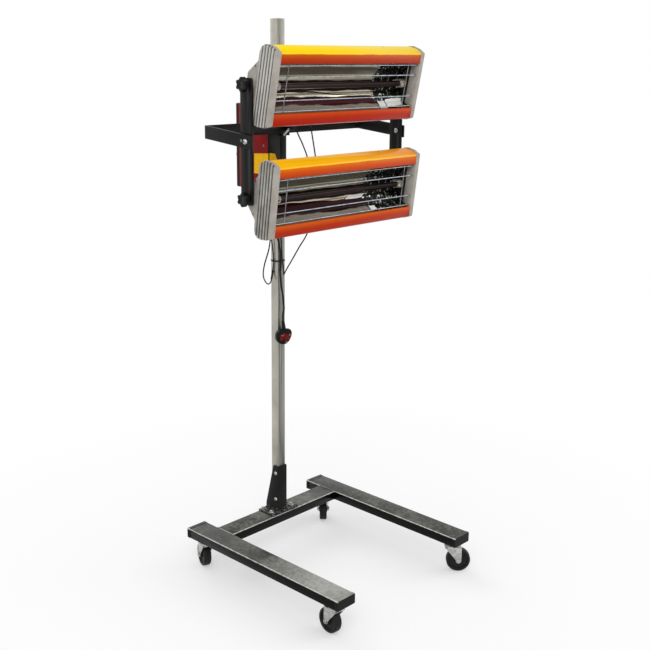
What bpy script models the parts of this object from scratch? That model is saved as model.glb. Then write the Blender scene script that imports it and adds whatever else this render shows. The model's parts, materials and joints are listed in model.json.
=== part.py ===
# Infrared paint curing lamp: two tilting cassettes on a rolling stand with a square mast.
# Metres, +Z up. The floor is z = 0 and the origin is the middle of the base on the floor.
# The lamps face -Y, and +X runs along the cross member.
import math

import bmesh
import bpy
from mathutils import Matrix, Vector

# Clearances
SEAT_GAP = 0.0003
RUN_GAP = 0.0006
CUT_OVERRUN = 0.002
WELD_OVERLAP = 0.0005

# Base frame
LEG_LENGTH = 0.630
BASE_WIDTH = 0.590
TUBE_WIDTH = 0.070
TUBE_HEIGHT = 0.030
TUBE_WALL = 0.002
TUBE_CORNER = 0.003
NUT_ACCESS_RADIUS = 0.008
MAST_REAR_SET = 0.096

# Casters
CASTER_HEIGHT = 0.098
WHEEL_DIAMETER = 0.075
WHEEL_WIDTH = 0.024
WHEEL_SIDES = 20
WHEEL_HUB_WIDTH = 0.028
WHEEL_HUB_RADIUS = 0.011
WHEEL_WEB_WIDTH = 0.014
WHEEL_RIM_RADIUS = 0.029
WHEEL_EDGE = 0.003
AXLE_RADIUS = 0.004
AXLE_HEAD_RADIUS = 0.0065
AXLE_HEAD_LENGTH = 0.0035
CASTER_TRAIL = 0.022
CASTER_PLATE_SIZE = 0.054
CASTER_PLATE_THICKNESS = 0.0025
CASTER_PLATE_CORNER = 0.006
FRONT_STEM_INSET = 0.0375
REAR_STEM_INSET = 0.046
FORK_SHEET = 0.0025
FORK_WHEEL_GAP = 0.004
FORK_SIDE_GAP = 0.0006
FORK_REAR_REACH = 0.020
FORK_EAR_RADIUS = 0.0085
RACE_RADIUS = 0.0215
RACE_NECK_RADIUS = 0.018
RACE_STEP_SHARE = 0.45
KINGPIN_RADIUS = 0.005
CASTER_HEADINGS = {
    "front_left": 84.0,
    "front_right": -46.0,
    "rear_left": 68.0,
    "rear_right": -136.0,
}

# Mast and its foot
MAST_SIZE = 0.030
MAST_WALL = 0.002
MAST_CORNER = 0.002
MAST_TOP = 1.638
MAST_PLUG_LENGTH = 0.014
FOOT_PLATE_LENGTH = 0.112
FOOT_PLATE_THICKNESS = 0.005
FOOT_HEIGHT = 0.147
FOOT_WALL = 0.003
FOOT_TOP_DEPTH = 0.023
FOOT_BOTTOM_DEPTH = 0.056

# Sleeve, clamp and yoke
HEAD_HEIGHT = 1.337
SLEEVE_WALL = 0.0035
SLEEVE_LENGTH = 0.125
SLEEVE_TOP_ABOVE_BAR = 0.025
BAR_HEIGHT = 0.035
BAR_THICKNESS = 0.006
BAR_REAR_FROM_MAST = 0.035
BAR_BEND_RADIUS = 0.009
BAR_BEND_STEPS = 4
ARM_DROP = 0.015
ARM_END_OVERHANG = 0.0205
BLOCK_HEIGHT = 0.050
CLAMP_RADIUS = 0.004
CLAMP_HEAD_RADIUS = 0.009
CLAMP_HEAD_LENGTH = 0.021
CLAMP_COLLAR = 0.0035
CLAMP_COLLAR_RADIUS = 0.0072
TEE_RADIUS = 0.0032
TEE_LENGTH = 0.074
TEE_END = 0.0012
TEE_REST_ANGLE = 36.0

# Uprights and their bolts
UPRIGHT_FROM_MAST = 0.2035
UPRIGHT_WIDTH = 0.044
UPRIGHT_REAR_SET = 0.005
UPRIGHT_THICKNESS = 0.006
UPRIGHT_CORNER = 0.006
UPRIGHT_END = 0.0165
PIVOT_SPACING = 0.293
PIVOT_CENTRE_DROP = 0.0025
STUD_RADIUS = 0.004
FRAME_BOLT_HEAD_RADIUS = 0.0075
FRAME_BOLT_HEAD_HEIGHT = 0.006
FRAME_NUT_HEIGHT = 0.0035
BOLT_DOME_SHARE = 0.85

# Tilt knobs
KNOB_RADIUS = 0.0150
KNOB_LOBE = 0.0022
KNOB_LOBES = 6
KNOB_LOBE_POINTS = 3
KNOB_LENGTH = 0.016
KNOB_EDGE = 0.0022
KNOB_COLLAR_RADIUS = 0.0095
KNOB_COLLAR_LENGTH = 0.007
KNOB_STUD_REACH = 0.008

# Cassettes
CASSETTE_TILTS = {"upper": 11.2, "lower": 7.2}
RAIL_LENGTH = 0.5524
PIVOT_TO_FRONT = 0.0845
CASSETTE_DEPTH = 0.064
CASSETTE_RISE = 0.005
OPENING_HEIGHT = 0.128
RAIL_HEIGHT = 0.040
RAIL_WALL = 0.002
CAP_THICKNESS = 0.017
CAP_LIP = 0.001
CAP_SHOULDER_REACH = 0.006
CAP_SHOULDER_INSET = 0.003
CAP_SHOULDER_STEPS = 2
CAP_GROOVES = 5
CAP_GROOVE_PITCH = 0.0105
CAP_GROOVE_WIDTH = 0.0055
CAP_GROOVE_DEPTH = 0.005
CAP_FIRST_GROOVE = 0.011
EAR_THICKNESS = 0.0115
EAR_BOSS_PROUD = 0.002
EAR_BOSS_RADIUS = 0.0125
EAR_BOSS_SIDES = 14
BACK_SHEET = 0.0012
BACK_REACH = 0.0148
BACK_FLAT_HEIGHT = 0.044
BACK_SHOULDER_HEIGHT = 0.120
BACK_LAP = 0.020
REFLECTOR_SHEET = 0.0008
REFLECTOR_DEPTH = 0.046
TUBE_LAMP_RADIUS = 0.0075
TUBE_LAMP_END_GAP = 0.0115
TUBE_LAMP_FROM_PIVOT = 0.050
LAMP_BASE_END_INSET = 0.003
LAMP_BASE_WIDTH = 0.022
LAMP_BASE_HEIGHT = 0.021
LAMP_BASE_CORNER = 0.009
BASE_FRONT_WALL = 0.003
WIRE_RADIUS = 0.0015
WIRE_SIDES = 6
GUARD_FROM_PIVOT = 0.078
GUARD_MID_SPACING = 0.060
GUARD_EDGE_SPACING = 0.117
GUARD_POST_INSET = 0.0385
GUARD_SINK = 0.001
GLAND_RADIUS = 0.0065
GLAND_LENGTH = 0.012
GLAND_NECK_RADIUS = 0.0045
GLAND_SIDES = 12
GLAND_SHOULDER_SHARE = 0.6

# Outline of a rail: shares of the cassette's depth behind the front, and of the rail's height
RAIL_OUTLINE_SHARES = (
    (0.14, 0.0),
    (0.0, 0.0),
    (0.0, 0.66),
    (0.025, 0.74),
    (0.29, 0.93),
    (0.62, 1.0),
    (0.80, 0.95),
    (0.92, 0.78),
    (0.985, 0.48),
    (1.0, 0.06),
)
# Reflector trough: shares of its depth behind its front edge, and of half the opening
REFLECTOR_SHARES = ((0.0, 0.99), (0.62, 0.80), (1.0, 0.38), (1.0, -0.38), (0.62, -0.80), (0.0, -0.99))

# Where the leads leave the cassettes, along X and above the cassette's middle
UPPER_LEAD_X = -0.100
SECOND_LEAD_X = -0.030
LOWER_LEAD_X = -0.190

# Control box
BOX_WIDTH = 0.046
BOX_DEPTH = 0.137
BOX_HEIGHT = 0.244
BOX_BELOW_BAR = 0.180
BOX_FRONT_FROM_MAST = 0.030
BOX_SHEET = 0.0015
BOX_PLATE = 0.0028
BOX_LID_DEPTH = 0.011
BOX_LID_WALL = 0.002
BOX_CORNER = 0.004
ROCKER_WIDTH = 0.012
ROCKER_HEIGHT = 0.018
ROCKER_DEPTH = 0.010
ROCKER_PROUD = 0.003
ROCKER_DISH = 0.0015
ROCKER_BACK_SHARE = 0.8
ROCKER_END_CLEARANCE = 0.0010
ROCKER_BELOW_TOP = (0.050, 0.085)
TIMER_BELOW_TOP = 0.150
TIMER_RADIUS = 0.016
TIMER_LENGTH = 0.015
TIMER_GRIP_STEP = 0.0012
TIMER_GRIP_SHARE = 0.82
TIMER_SIDES = 20
TIMER_SHAFT_RADIUS = 0.003
TIMER_SHAFT_LENGTH = 0.008
BOX_GLAND_RADIUS = 0.008
BOX_GLAND_LENGTH = 0.013
BOX_RELIEF_LENGTH = 0.024
BOX_GLAND_NECK = 0.0055
BOX_GLAND_PITCH = 0.023
BOX_GLAND_FRONT_INSET = 0.026
BOX_GLAND_REAR_INSET = 0.060
GLAND_STRIP_THICKNESS = 0.0025
GLAND_STRIP_MARGIN = 0.0015

# Cords
CORD_STEP_SHARE = 3.0
CORD_STRAIGHT_SHARE = 1.5
MAINS_DIAMETER = 0.007
LEAD_DIAMETER = 0.005
PLUG_WIDTH = 0.049
PLUG_HEIGHT = 0.045
PLUG_DEPTH = 0.022
PLUG_CORNER = 0.008
PLUG_SHOULDER_SHARE = 0.62
PLUG_SLIM_SHARE = 0.93
PLUG_NECK_LENGTH = 0.022
PLUG_NECK_RADIUS = 0.0065
PLUG_NECK_SHARE = 0.6
PIN_LENGTH = 0.018
PIN_WIDTH = 0.0063
PIN_THICKNESS = 0.004
PIN_SPREAD = 0.022
PIN_RISE = 0.022
TIE_HEIGHT = 0.005
TIE_BAND = 0.0012
TIE_BELOW_HEAD = 0.397
TIE_LEFT = 0.0225
TIE_FRONT = 0.0250

# Places worked out from the sizes above
BASE_TOP = CASTER_HEIGHT + TUBE_HEIGHT
LEG_X = (BASE_WIDTH - TUBE_WIDTH) / 2
MAST_Y = LEG_LENGTH / 2 - MAST_REAR_SET
FOOT_TOP = BASE_TOP + SEAT_GAP + FOOT_PLATE_THICKNESS
SLEEVE_HALF = MAST_SIZE / 2 + RUN_GAP + SLEEVE_WALL
SLEEVE_TOP = HEAD_HEIGHT + SLEEVE_TOP_ABOVE_BAR
FRAME_BOLT_Z = HEAD_HEIGHT - ARM_DROP
PIVOT_Y = MAST_Y - UPRIGHT_FROM_MAST
PIVOT_Z = {
    "upper": FRAME_BOLT_Z - PIVOT_CENTRE_DROP + PIVOT_SPACING / 2,
    "lower": FRAME_BOLT_Z - PIVOT_CENTRE_DROP - PIVOT_SPACING / 2,
}
CAP_INNER_X = RAIL_LENGTH / 2 + SEAT_GAP
CAP_OUTER_X = CAP_INNER_X + CAP_THICKNESS
EAR_BOSS_X = CAP_OUTER_X + EAR_BOSS_PROUD + SEAT_GAP
UPRIGHT_IN_X = EAR_BOSS_X + SEAT_GAP
UPRIGHT_OUT_X = UPRIGHT_IN_X + UPRIGHT_THICKNESS
ARM_IN_X = UPRIGHT_OUT_X + SEAT_GAP
ARM_OUT_X = ARM_IN_X + BAR_THICKNESS
BAR_REAR_Y = MAST_Y - BAR_REAR_FROM_MAST
BAR_FRONT_Y = BAR_REAR_Y - BAR_THICKNESS
BOX_IN_X = -(SLEEVE_HALF + SEAT_GAP)
BOX_OUT_X = BOX_IN_X - BOX_WIDTH
BOX_FRONT_Y = MAST_Y - BOX_FRONT_FROM_MAST
BOX_REAR_Y = BOX_FRONT_Y + BOX_DEPTH
BOX_BOTTOM = HEAD_HEIGHT - BOX_BELOW_BAR
BOX_MID_X = (BOX_IN_X + BOX_OUT_X) / 2
WHEEL_RADIUS = WHEEL_DIAMETER / 2
AXLE_Z = WHEEL_RADIUS * math.cos(math.pi / WHEEL_SIDES)
BACK_INNER_Y = CASSETTE_DEPTH - PIVOT_TO_FRONT + SEAT_GAP

# Places where the cords leave, from the mast's axis and the head's height
GLAND_BOTTOM = BOX_BOTTOM - HEAD_HEIGHT - SEAT_GAP - BOX_GLAND_LENGTH - SEAT_GAP
RELIEF_BOTTOM = BOX_BOTTOM - HEAD_HEIGHT - SEAT_GAP - BOX_RELIEF_LENGTH - SEAT_GAP
GLAND_FRONT_Y = -BOX_FRONT_FROM_MAST + BOX_GLAND_FRONT_INSET
GLAND_REAR_Y = -BOX_FRONT_FROM_MAST + BOX_GLAND_REAR_INSET

# Routes of the cords between their ends: points chosen by hand, metres,
# from the mast's axis and the head's height
MAINS_ROUTE = (
    (-0.0515, -0.0085, -0.2400),
    (-0.0440, -0.0160, -0.2720),
    (-0.0310, -0.0205, -0.3030),
    (-0.0180, -0.0212, -0.3340),
    (-0.0100, -0.0205, -0.3670),
    (-0.0085, -0.0200, -0.3970),
    (-0.0100, -0.0205, -0.4320),
    (-0.0085, -0.0225, -0.4670),
    (-0.0035, -0.0255, -0.5070),
    (-0.0020, -0.0278, -0.5420),
)
PLUG_HANG = (-0.0065, -0.0285, -0.5807)
UPPER_LEAD_ROUTE = (
    (-0.0990, -0.1560, 0.1160),
    (-0.0950, -0.1530, 0.0830),
    (-0.0880, -0.1560, 0.0430),
    (-0.0800, -0.1580, 0.0030),
    (-0.0480, -0.1520, -0.0410),
    (-0.0160, -0.1400, -0.0840),
    (-0.0020, -0.1340, -0.1370),
    (0.0020, -0.1320, -0.1970),
    (0.0010, -0.1310, -0.2570),
    (-0.0060, -0.1290, -0.2990),
    (-0.0260, -0.1170, -0.3380),
    (-0.0310, -0.0950, -0.3750),
    (-0.0250, -0.0640, -0.4110),
    (-0.0120, -0.0380, -0.4340),
    (0.0000, -0.0250, -0.4310),
    (0.0030, -0.0195, -0.4120),
    (0.0000, -0.0187, -0.3920),
    (-0.0020, -0.0190, -0.3670),
    (-0.0080, -0.0215, -0.3270),
    (-0.0200, -0.0220, -0.2870),
    (-0.0285, -0.0140, -0.2470),
)
SECOND_LEAD_ROUTE = (
    (-0.0300, -0.1570, 0.1170),
    (-0.0290, -0.1550, 0.0830),
    (-0.0260, -0.1570, 0.0430),
    (-0.0210, -0.1590, -0.0020),
    (-0.0120, -0.1590, -0.0420),
    (-0.0020, -0.1570, -0.0820),
    (0.0020, -0.1520, -0.1200),
    (-0.0020, -0.1430, -0.1580),
    (-0.0130, -0.1290, -0.1930),
    (-0.0300, -0.1060, -0.2210),
    (-0.0480, -0.0780, -0.2390),
    (-0.0620, -0.0490, -0.2470),
    (-0.0690, -0.0190, -0.2480),
    (-0.0670, 0.0070, -0.2420),
    (-0.0590, 0.0230, -0.2280),
)
LOWER_LEAD_ROUTE = (
    (-0.1895, -0.1720, -0.2470),
    (-0.1890, -0.1690, -0.2770),
    (-0.1920, -0.1650, -0.3160),
    (-0.1950, -0.1500, -0.3620),
    (-0.1720, -0.1200, -0.3990),
    (-0.1270, -0.0800, -0.4310),
    (-0.0800, -0.0420, -0.4520),
    (-0.0420, -0.0120, -0.4570),
    (-0.0240, 0.0020, -0.4470),
    (-0.0188, 0.0030, -0.4270),
    (-0.0185, -0.0010, -0.3970),
    (-0.0200, 0.0040, -0.3470),
    (-0.0240, 0.0150, -0.2870),
    (-0.0290, 0.0260, -0.2420),
)


def clear_scene():
    for item in list(bpy.data.objects):
        bpy.data.objects.remove(item, do_unlink=True)


def material(name, colour, roughness, metallic):
    mat = bpy.data.materials.new(name)
    mat.use_nodes = True
    shader = mat.node_tree.nodes["Principled BSDF"]
    shader.inputs["Base Color"].default_value = (*colour, 1.0)
    shader.inputs["Roughness"].default_value = roughness
    shader.inputs["Metallic"].default_value = metallic
    mat.diffuse_color = (*colour, 1.0)
    return mat


FINISHES = {
    "black_paint": ((0.020, 0.020, 0.021), 0.35, 0.0),
    "base_paint": ((0.045, 0.047, 0.047), 0.30, 0.0),
    "black_plastic": ((0.015, 0.015, 0.016), 0.5, 0.0),
    "tyre": ((0.012, 0.012, 0.012), 0.7, 0.0),
    "zinc": ((0.62, 0.63, 0.62), 0.35, 1.0),
    "chrome": ((0.70, 0.71, 0.72), 0.18, 1.0),
    "orange_paint": ((0.85, 0.17, 0.03), 0.3, 0.0),
    "red_paint": ((0.42, 0.015, 0.012), 0.4, 0.0),
    "grey_cast": ((0.52, 0.51, 0.49), 0.45, 0.3),
    "aluminium": ((0.75, 0.76, 0.77), 0.4, 1.0),
    "mirror": ((0.86, 0.87, 0.88), 0.08, 1.0),
    "ruby_quartz": ((0.10, 0.008, 0.012), 0.08, 0.0),
    "ceramic": ((0.82, 0.80, 0.74), 0.6, 0.0),
    "cord": ((0.012, 0.012, 0.012), 0.5, 0.0),
    "brass": ((0.75, 0.55, 0.25), 0.3, 1.0),
}


def own_material(node, finish):
    """Each piece has a material of its own, with the colour of its finish."""
    colour, roughness, metallic = FINISHES[finish]
    return material(node + "_" + finish, colour, roughness, metallic)


def place(point, level, axis):
    """A point of an outline, put at a level along X, Y or Z."""
    a, b = point
    if axis == "X":
        return Vector((level, a, b))
    if axis == "Y":
        return Vector((a, level, b))
    return Vector((a, b, level))


def ring(outline, level, axis):
    return [place(point, level, axis) for point in outline]


def skin(rings, closed_loop=False):
    """Quads between rings of equal counts, with both ends capped unless the rings close on themselves."""
    bm = bmesh.new()
    rows = [[bm.verts.new(point) for point in points] for points in rings]
    pairs = list(zip(rows, rows[1:]))
    if closed_loop:
        pairs.append((rows[-1], rows[0]))
    for lower, upper in pairs:
        for i in range(len(lower)):
            j = (i + 1) % len(lower)
            bm.faces.new((lower[i], lower[j], upper[j], upper[i]))
    if not closed_loop:
        bm.faces.new(rows[0])
        bm.faces.new(list(reversed(rows[-1])))
    bmesh.ops.recalc_face_normals(bm, faces=bm.faces)
    return bm


def mesh_of(name, shapes, smooth=False):
    """One mesh that holds one or more separate closed shapes."""
    mesh = bpy.data.meshes.new(name)
    whole = bmesh.new()
    for shape in shapes:
        part = bpy.data.meshes.new(name + "_piece")
        shape.to_mesh(part)
        shape.free()
        whole.from_mesh(part)
        bpy.data.meshes.remove(part)
    whole.to_mesh(mesh)
    whole.free()
    if smooth:
        mesh.shade_smooth()
        mesh.set_sharp_from_angle(angle=math.radians(35))
    return mesh


def add(name, shapes, finish, parent=None, location=(0.0, 0.0, 0.0), turn=(0.0, 0.0, 0.0), smooth=False):
    if not isinstance(shapes, (list, tuple)):
        shapes = [shapes]
    return add_mesh(name, mesh_of(name, shapes, smooth), finish, parent, location, turn)


def add_mesh(name, mesh, finish, parent=None, location=(0.0, 0.0, 0.0), turn=(0.0, 0.0, 0.0)):
    item = bpy.data.objects.new(name, mesh)
    bpy.context.scene.collection.objects.link(item)
    if not mesh.materials:
        mesh.materials.append(own_material(name, finish))
    item.parent = parent
    item.location = location
    item.rotation_euler = turn
    return item


def empty(name, location, turn=(0.0, 0.0, 0.0)):
    item = bpy.data.objects.new(name, None)
    bpy.context.scene.collection.objects.link(item)
    item.location = location
    item.rotation_euler = turn
    return item


def helper(target, shape, operation):
    """A hidden shape in the target's own frame, cut from the target or joined to it."""
    name = target.name + "_" + operation.lower() + str(len(target.modifiers))
    item = bpy.data.objects.new(name, mesh_of(name, [shape]))
    bpy.context.scene.collection.objects.link(item)
    item.parent = target.parent
    item.location = target.location
    item.rotation_euler = target.rotation_euler
    item.hide_render = True
    item.display_type = "WIRE"
    step = target.modifiers.new(operation.title(), "BOOLEAN")
    step.operation = operation
    step.solver = "EXACT"
    step.object = item
    return item


def cut(target, *shapes):
    for shape in shapes:
        helper(target, shape, "DIFFERENCE")


def join(target, *shapes):
    for shape in shapes:
        helper(target, shape, "UNION")


def settled(item):
    """The item's evaluated mesh, to be shared by its copies. The item and its helpers go."""
    bpy.context.view_layer.update()
    graph = bpy.context.evaluated_depsgraph_get()
    mesh = bpy.data.meshes.new_from_object(item.evaluated_get(graph))
    mesh.materials.clear()
    helpers = [step.object for step in item.modifiers]
    for other in [item, *helpers]:
        bpy.data.objects.remove(other, do_unlink=True)
    mesh.shade_smooth()
    mesh.set_sharp_from_angle(angle=math.radians(35))
    return mesh


def rounded_rectangle(width, height, radius, steps=2, centre=(0.0, 0.0)):
    points = []
    corners = ((1, 1, 0), (-1, 1, 90), (-1, -1, 180), (1, -1, 270))
    for side_a, side_b, start in corners:
        for i in range(steps + 1):
            angle = math.radians(start + 90 * i / steps)
            a = side_a * (width / 2 - radius) + radius * math.cos(angle)
            b = side_b * (height / 2 - radius) + radius * math.sin(angle)
            points.append((centre[0] + a, centre[1] + b))
    return points


def circle(radius, count, centre=(0.0, 0.0), start=0.0):
    angles = [start + 2 * math.pi * i / count for i in range(count)]
    return [(centre[0] + radius * math.cos(t), centre[1] + radius * math.sin(t)) for t in angles]


def prism(outline, axis, low, high):
    return skin([ring(outline, low, axis), ring(outline, high, axis)])


def block(low, high):
    outline = [(low[0], low[1]), (high[0], low[1]), (high[0], high[1]), (low[0], high[1])]
    return prism(outline, "Z", low[2], high[2])


def hollow_prism(outer, inner, axis, low, high):
    rings = [ring(outer, low, axis), ring(outer, high, axis), ring(inner, high, axis), ring(inner, low, axis)]
    return skin(rings, closed_loop=True)


def turned(profile, axis, count, centre=(0.0, 0.0), start=0.0):
    """A solid of revolution: the profile is a list of (level, radius), both ends capped."""
    return skin([ring(circle(radius, count, centre, start), level, axis) for level, radius in profile])


def turned_loop(profile, axis, count, centre=(0.0, 0.0), start=0.0):
    """A revolved closed profile, which leaves its bore open."""
    rings = [ring(circle(radius, count, centre, start), level, axis) for level, radius in profile]
    return skin(rings, closed_loop=True)


def shifted_path(path, distance, closed=False):
    """The path moved to its right by a distance, with mitred corners."""
    count = len(path)
    points = [Vector(point) for point in path]
    shifted = []
    for i in range(count):
        before = points[i] - points[i - 1] if closed or i > 0 else None
        after = points[(i + 1) % count] - points[i] if closed or i < count - 1 else None
        before = before or after
        after = after or before
        first = Vector((before.y, -before.x)).normalized()
        second = Vector((after.y, -after.x)).normalized()
        shift = (first + second) / (1 + first.dot(second)) * distance
        shifted.append((points[i].x + shift.x, points[i].y + shift.y))
    return shifted


def strip(path, thickness):
    """A closed outline: the path and the same path moved to its right by the thickness."""
    return list(path) + list(reversed(shifted_path(path, thickness)))


def swept_loop(points, samples):
    """Points on a Catmull-Rom curve through the given points, evenly numbered along its length."""
    ends = [points[0] * 2 - points[1], *points, points[-1] * 2 - points[-2]]
    fine = []
    per_span = 24
    for i in range(1, len(ends) - 2):
        a, b, c, d = ends[i - 1], ends[i], ends[i + 1], ends[i + 2]
        for k in range(per_span):
            t = k / per_span
            fine.append(0.5 * (2 * b + (c - a) * t + (2 * a - 5 * b + 4 * c - d) * t**2
                               + (3 * b - 3 * c + d - a) * t**3))
    fine.append(points[-1])
    lengths = [0.0]
    for before, after in zip(fine, fine[1:]):
        lengths.append(lengths[-1] + (after - before).length)
    result = []
    place_now = 0
    for k in range(samples):
        target = lengths[-1] * k / (samples - 1)
        while place_now < len(fine) - 2 and lengths[place_now + 1] < target:
            place_now += 1
        span = lengths[place_now + 1] - lengths[place_now]
        share = (target - lengths[place_now]) / span if span else 0.0
        result.append(fine[place_now].lerp(fine[place_now + 1], min(share, 1.0)))
    return result, lengths[-1]


def add_cord(name, start, way_out, route, way_in, end, diameter):
    """A free cord: a round tube on a smooth curve, straight for a few diameters at both its ends."""
    straight = CORD_STRAIGHT_SHARE * diameter
    middle = [Vector((x, MAST_Y + y, HEAD_HEIGHT + z)) for x, y, z in route]
    leaving = [start, start + way_out * straight, start + way_out * straight * 2]
    arriving = [end - way_in * straight * 2, end - way_in * straight, end]
    points = [*leaving, *middle, *arriving]
    length = swept_loop(points, 2)[1]
    samples = int(length / (CORD_STEP_SHARE * diameter))
    path = swept_loop(points, samples)[0]
    curve = bpy.data.curves.new(name, "CURVE")
    curve.dimensions = "3D"
    curve.bevel_depth = diameter / 2
    curve.bevel_resolution = 2
    curve.use_fill_caps = True
    spline = curve.splines.new("POLY")
    spline.points.add(len(path) - 1)
    for slot, point in zip(spline.points, path):
        slot.co = (*point, 1.0)
    curve.materials.append(own_material(name, "cord"))
    item = bpy.data.objects.new(name, curve)
    bpy.context.scene.collection.objects.link(item)
    print(name, "length", round(length, 3))
    return item


# Base frame

def tube_outline(width, height, corner):
    return rounded_rectangle(width, height, corner)


def tube_bore(width, height, wall, corner):
    return rounded_rectangle(width - 2 * wall, height - 2 * wall, max(corner - wall, wall / 2))


def shift_outline(outline, da, db):
    return [(a + da, b + db) for a, b in outline]


def build_legs():
    """Two closed box tubes; each has an access hole for a caster's nut over every stem."""
    half = LEG_LENGTH / 2
    mid_z = CASTER_HEIGHT + TUBE_HEIGHT / 2
    low = CASTER_HEIGHT - CUT_OVERRUN
    high = CASTER_HEIGHT + TUBE_WALL + CUT_OVERRUN
    for side, name in ((-1, "leg_left"), (1, "leg_right")):
        outer = shift_outline(tube_outline(TUBE_WIDTH, TUBE_HEIGHT, TUBE_CORNER), side * LEG_X, mid_z)
        bore = tube_bore(TUBE_WIDTH, TUBE_HEIGHT, TUBE_WALL, TUBE_CORNER)
        inner = shift_outline(bore, side * LEG_X, mid_z)
        leg = add(name, prism(outer, "Y", -half, half), "base_paint")
        cut(leg, prism(inner, "Y", TUBE_WALL - half, half - TUBE_WALL))
        for x, y in stem_places().values():
            if x * side > 0:
                cut(leg, turned([(low, NUT_ACCESS_RADIUS), (high, NUT_ACCESS_RADIUS)], "Z", 12, (x, y)))


def build_cross_member():
    half = LEG_X - TUBE_WIDTH / 2 - SEAT_GAP
    mid_z = CASTER_HEIGHT + TUBE_HEIGHT / 2
    outer = shift_outline(tube_outline(TUBE_WIDTH, TUBE_HEIGHT, TUBE_CORNER), MAST_Y, mid_z)
    inner = shift_outline(tube_bore(TUBE_WIDTH, TUBE_HEIGHT, TUBE_WALL, TUBE_CORNER), MAST_Y, mid_z)
    add("cross_member", hollow_prism(outer, inner, "X", -half, half), "base_paint")


# Casters

def stem_places():
    front = -LEG_LENGTH / 2 + FRONT_STEM_INSET
    rear = LEG_LENGTH / 2 - REAR_STEM_INSET
    return {
        "front_left": (-LEG_X, front),
        "front_right": (LEG_X, front),
        "rear_left": (-LEG_X, rear),
        "rear_right": (LEG_X, rear),
    }


def build_caster_plates():
    top = CASTER_HEIGHT - SEAT_GAP
    for corner, (x, y) in stem_places().items():
        outer = rounded_rectangle(CASTER_PLATE_SIZE, CASTER_PLATE_SIZE, CASTER_PLATE_CORNER, 2, (x, y))
        hole = circle(KINGPIN_RADIUS + SEAT_GAP, len(outer), (x, y))
        plate = hollow_prism(outer, hole, "Z", top - CASTER_PLATE_THICKNESS, top)
        add("caster_plate_" + corner, plate, "zinc")


def fork_side(side, top):
    """One cheek of a fork, tapering from its crown to a round ear at the axle."""
    inner = side * (WHEEL_HUB_WIDTH / 2 + FORK_SIDE_GAP)
    outer = inner + side * FORK_SHEET
    outline = [(-FORK_REAR_REACH, top), (CASTER_TRAIL + FORK_EAR_RADIUS, top)]
    for angle in (0, -40, -80, -120, -160, -195):
        turn = math.radians(angle)
        outline.append((CASTER_TRAIL + FORK_EAR_RADIUS * math.cos(turn),
                        AXLE_Z + FORK_EAR_RADIUS * math.sin(turn)))
    return prism(outline, "Y", min(inner, outer), max(inner, outer))


def fork_mesh():
    crown_low = WHEEL_RADIUS + AXLE_Z + FORK_WHEEL_GAP
    crown_top = crown_low + FORK_SHEET
    half = WHEEL_HUB_WIDTH / 2 + FORK_SIDE_GAP + FORK_SHEET
    item = add("fork", block((-FORK_REAR_REACH, -half, crown_low),
                             (CASTER_TRAIL + FORK_EAR_RADIUS, half, crown_top)), "zinc")
    seat = CASTER_HEIGHT - SEAT_GAP - CASTER_PLATE_THICKNESS - SEAT_GAP
    step = crown_top + (seat - crown_top) * RACE_STEP_SHARE
    race = [(crown_top - WELD_OVERLAP, RACE_RADIUS), (step, RACE_RADIUS), (step, RACE_NECK_RADIUS),
            (seat, RACE_NECK_RADIUS), (seat, KINGPIN_RADIUS), (CASTER_HEIGHT - 2 * SEAT_GAP, KINGPIN_RADIUS)]
    head_out = half + AXLE_HEAD_LENGTH
    axle = [(-head_out, AXLE_HEAD_RADIUS), (-half + WELD_OVERLAP, AXLE_HEAD_RADIUS),
            (-half + WELD_OVERLAP, AXLE_RADIUS), (half - WELD_OVERLAP, AXLE_RADIUS),
            (half - WELD_OVERLAP, AXLE_HEAD_RADIUS), (head_out, AXLE_HEAD_RADIUS)]
    join(item, fork_side(-1, crown_top), fork_side(1, crown_top), turned(race, "Z", 14),
         turned(axle, "Y", 10, (CASTER_TRAIL, AXLE_Z)))
    return settled(item)


def wheel_mesh():
    """Tyre, dished web and hub in one moulding, with the bore open for the axle."""
    hub = WHEEL_HUB_WIDTH / 2
    tread = WHEEL_WIDTH / 2
    web = WHEEL_WEB_WIDTH / 2
    bore = AXLE_RADIUS + SEAT_GAP
    right = [(0.0 - hub, bore), (0.0 - hub, WHEEL_HUB_RADIUS), (-web, WHEEL_HUB_RADIUS + WHEEL_EDGE),
             (-web, WHEEL_RIM_RADIUS - WHEEL_EDGE), (-tread, WHEEL_RIM_RADIUS),
             (-tread, WHEEL_RADIUS - WHEEL_EDGE), (-tread + WHEEL_EDGE, WHEEL_RADIUS)]
    left = [(-level, radius) for level, radius in reversed(right)]
    start = math.pi / 2 + math.pi / WHEEL_SIDES
    shape = turned_loop(right + left, "Y", WHEEL_SIDES, start=start)
    return mesh_of("wheel", [shape], smooth=True)


def build_casters():
    forks = fork_mesh()
    wheels = wheel_mesh()
    for corner, (x, y) in stem_places().items():
        heading = math.radians(CASTER_HEADINGS[corner])
        turn = (0.0, 0.0, heading)
        add_mesh("caster_fork_" + corner, forks.copy(), "zinc", None, (x, y, 0.0), turn)
        centre = (x + CASTER_TRAIL * math.cos(heading), y + CASTER_TRAIL * math.sin(heading), AXLE_Z)
        add_mesh("caster_wheel_" + corner, wheels.copy(), "tyre", None, centre, turn)


# Mast and foot

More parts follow.
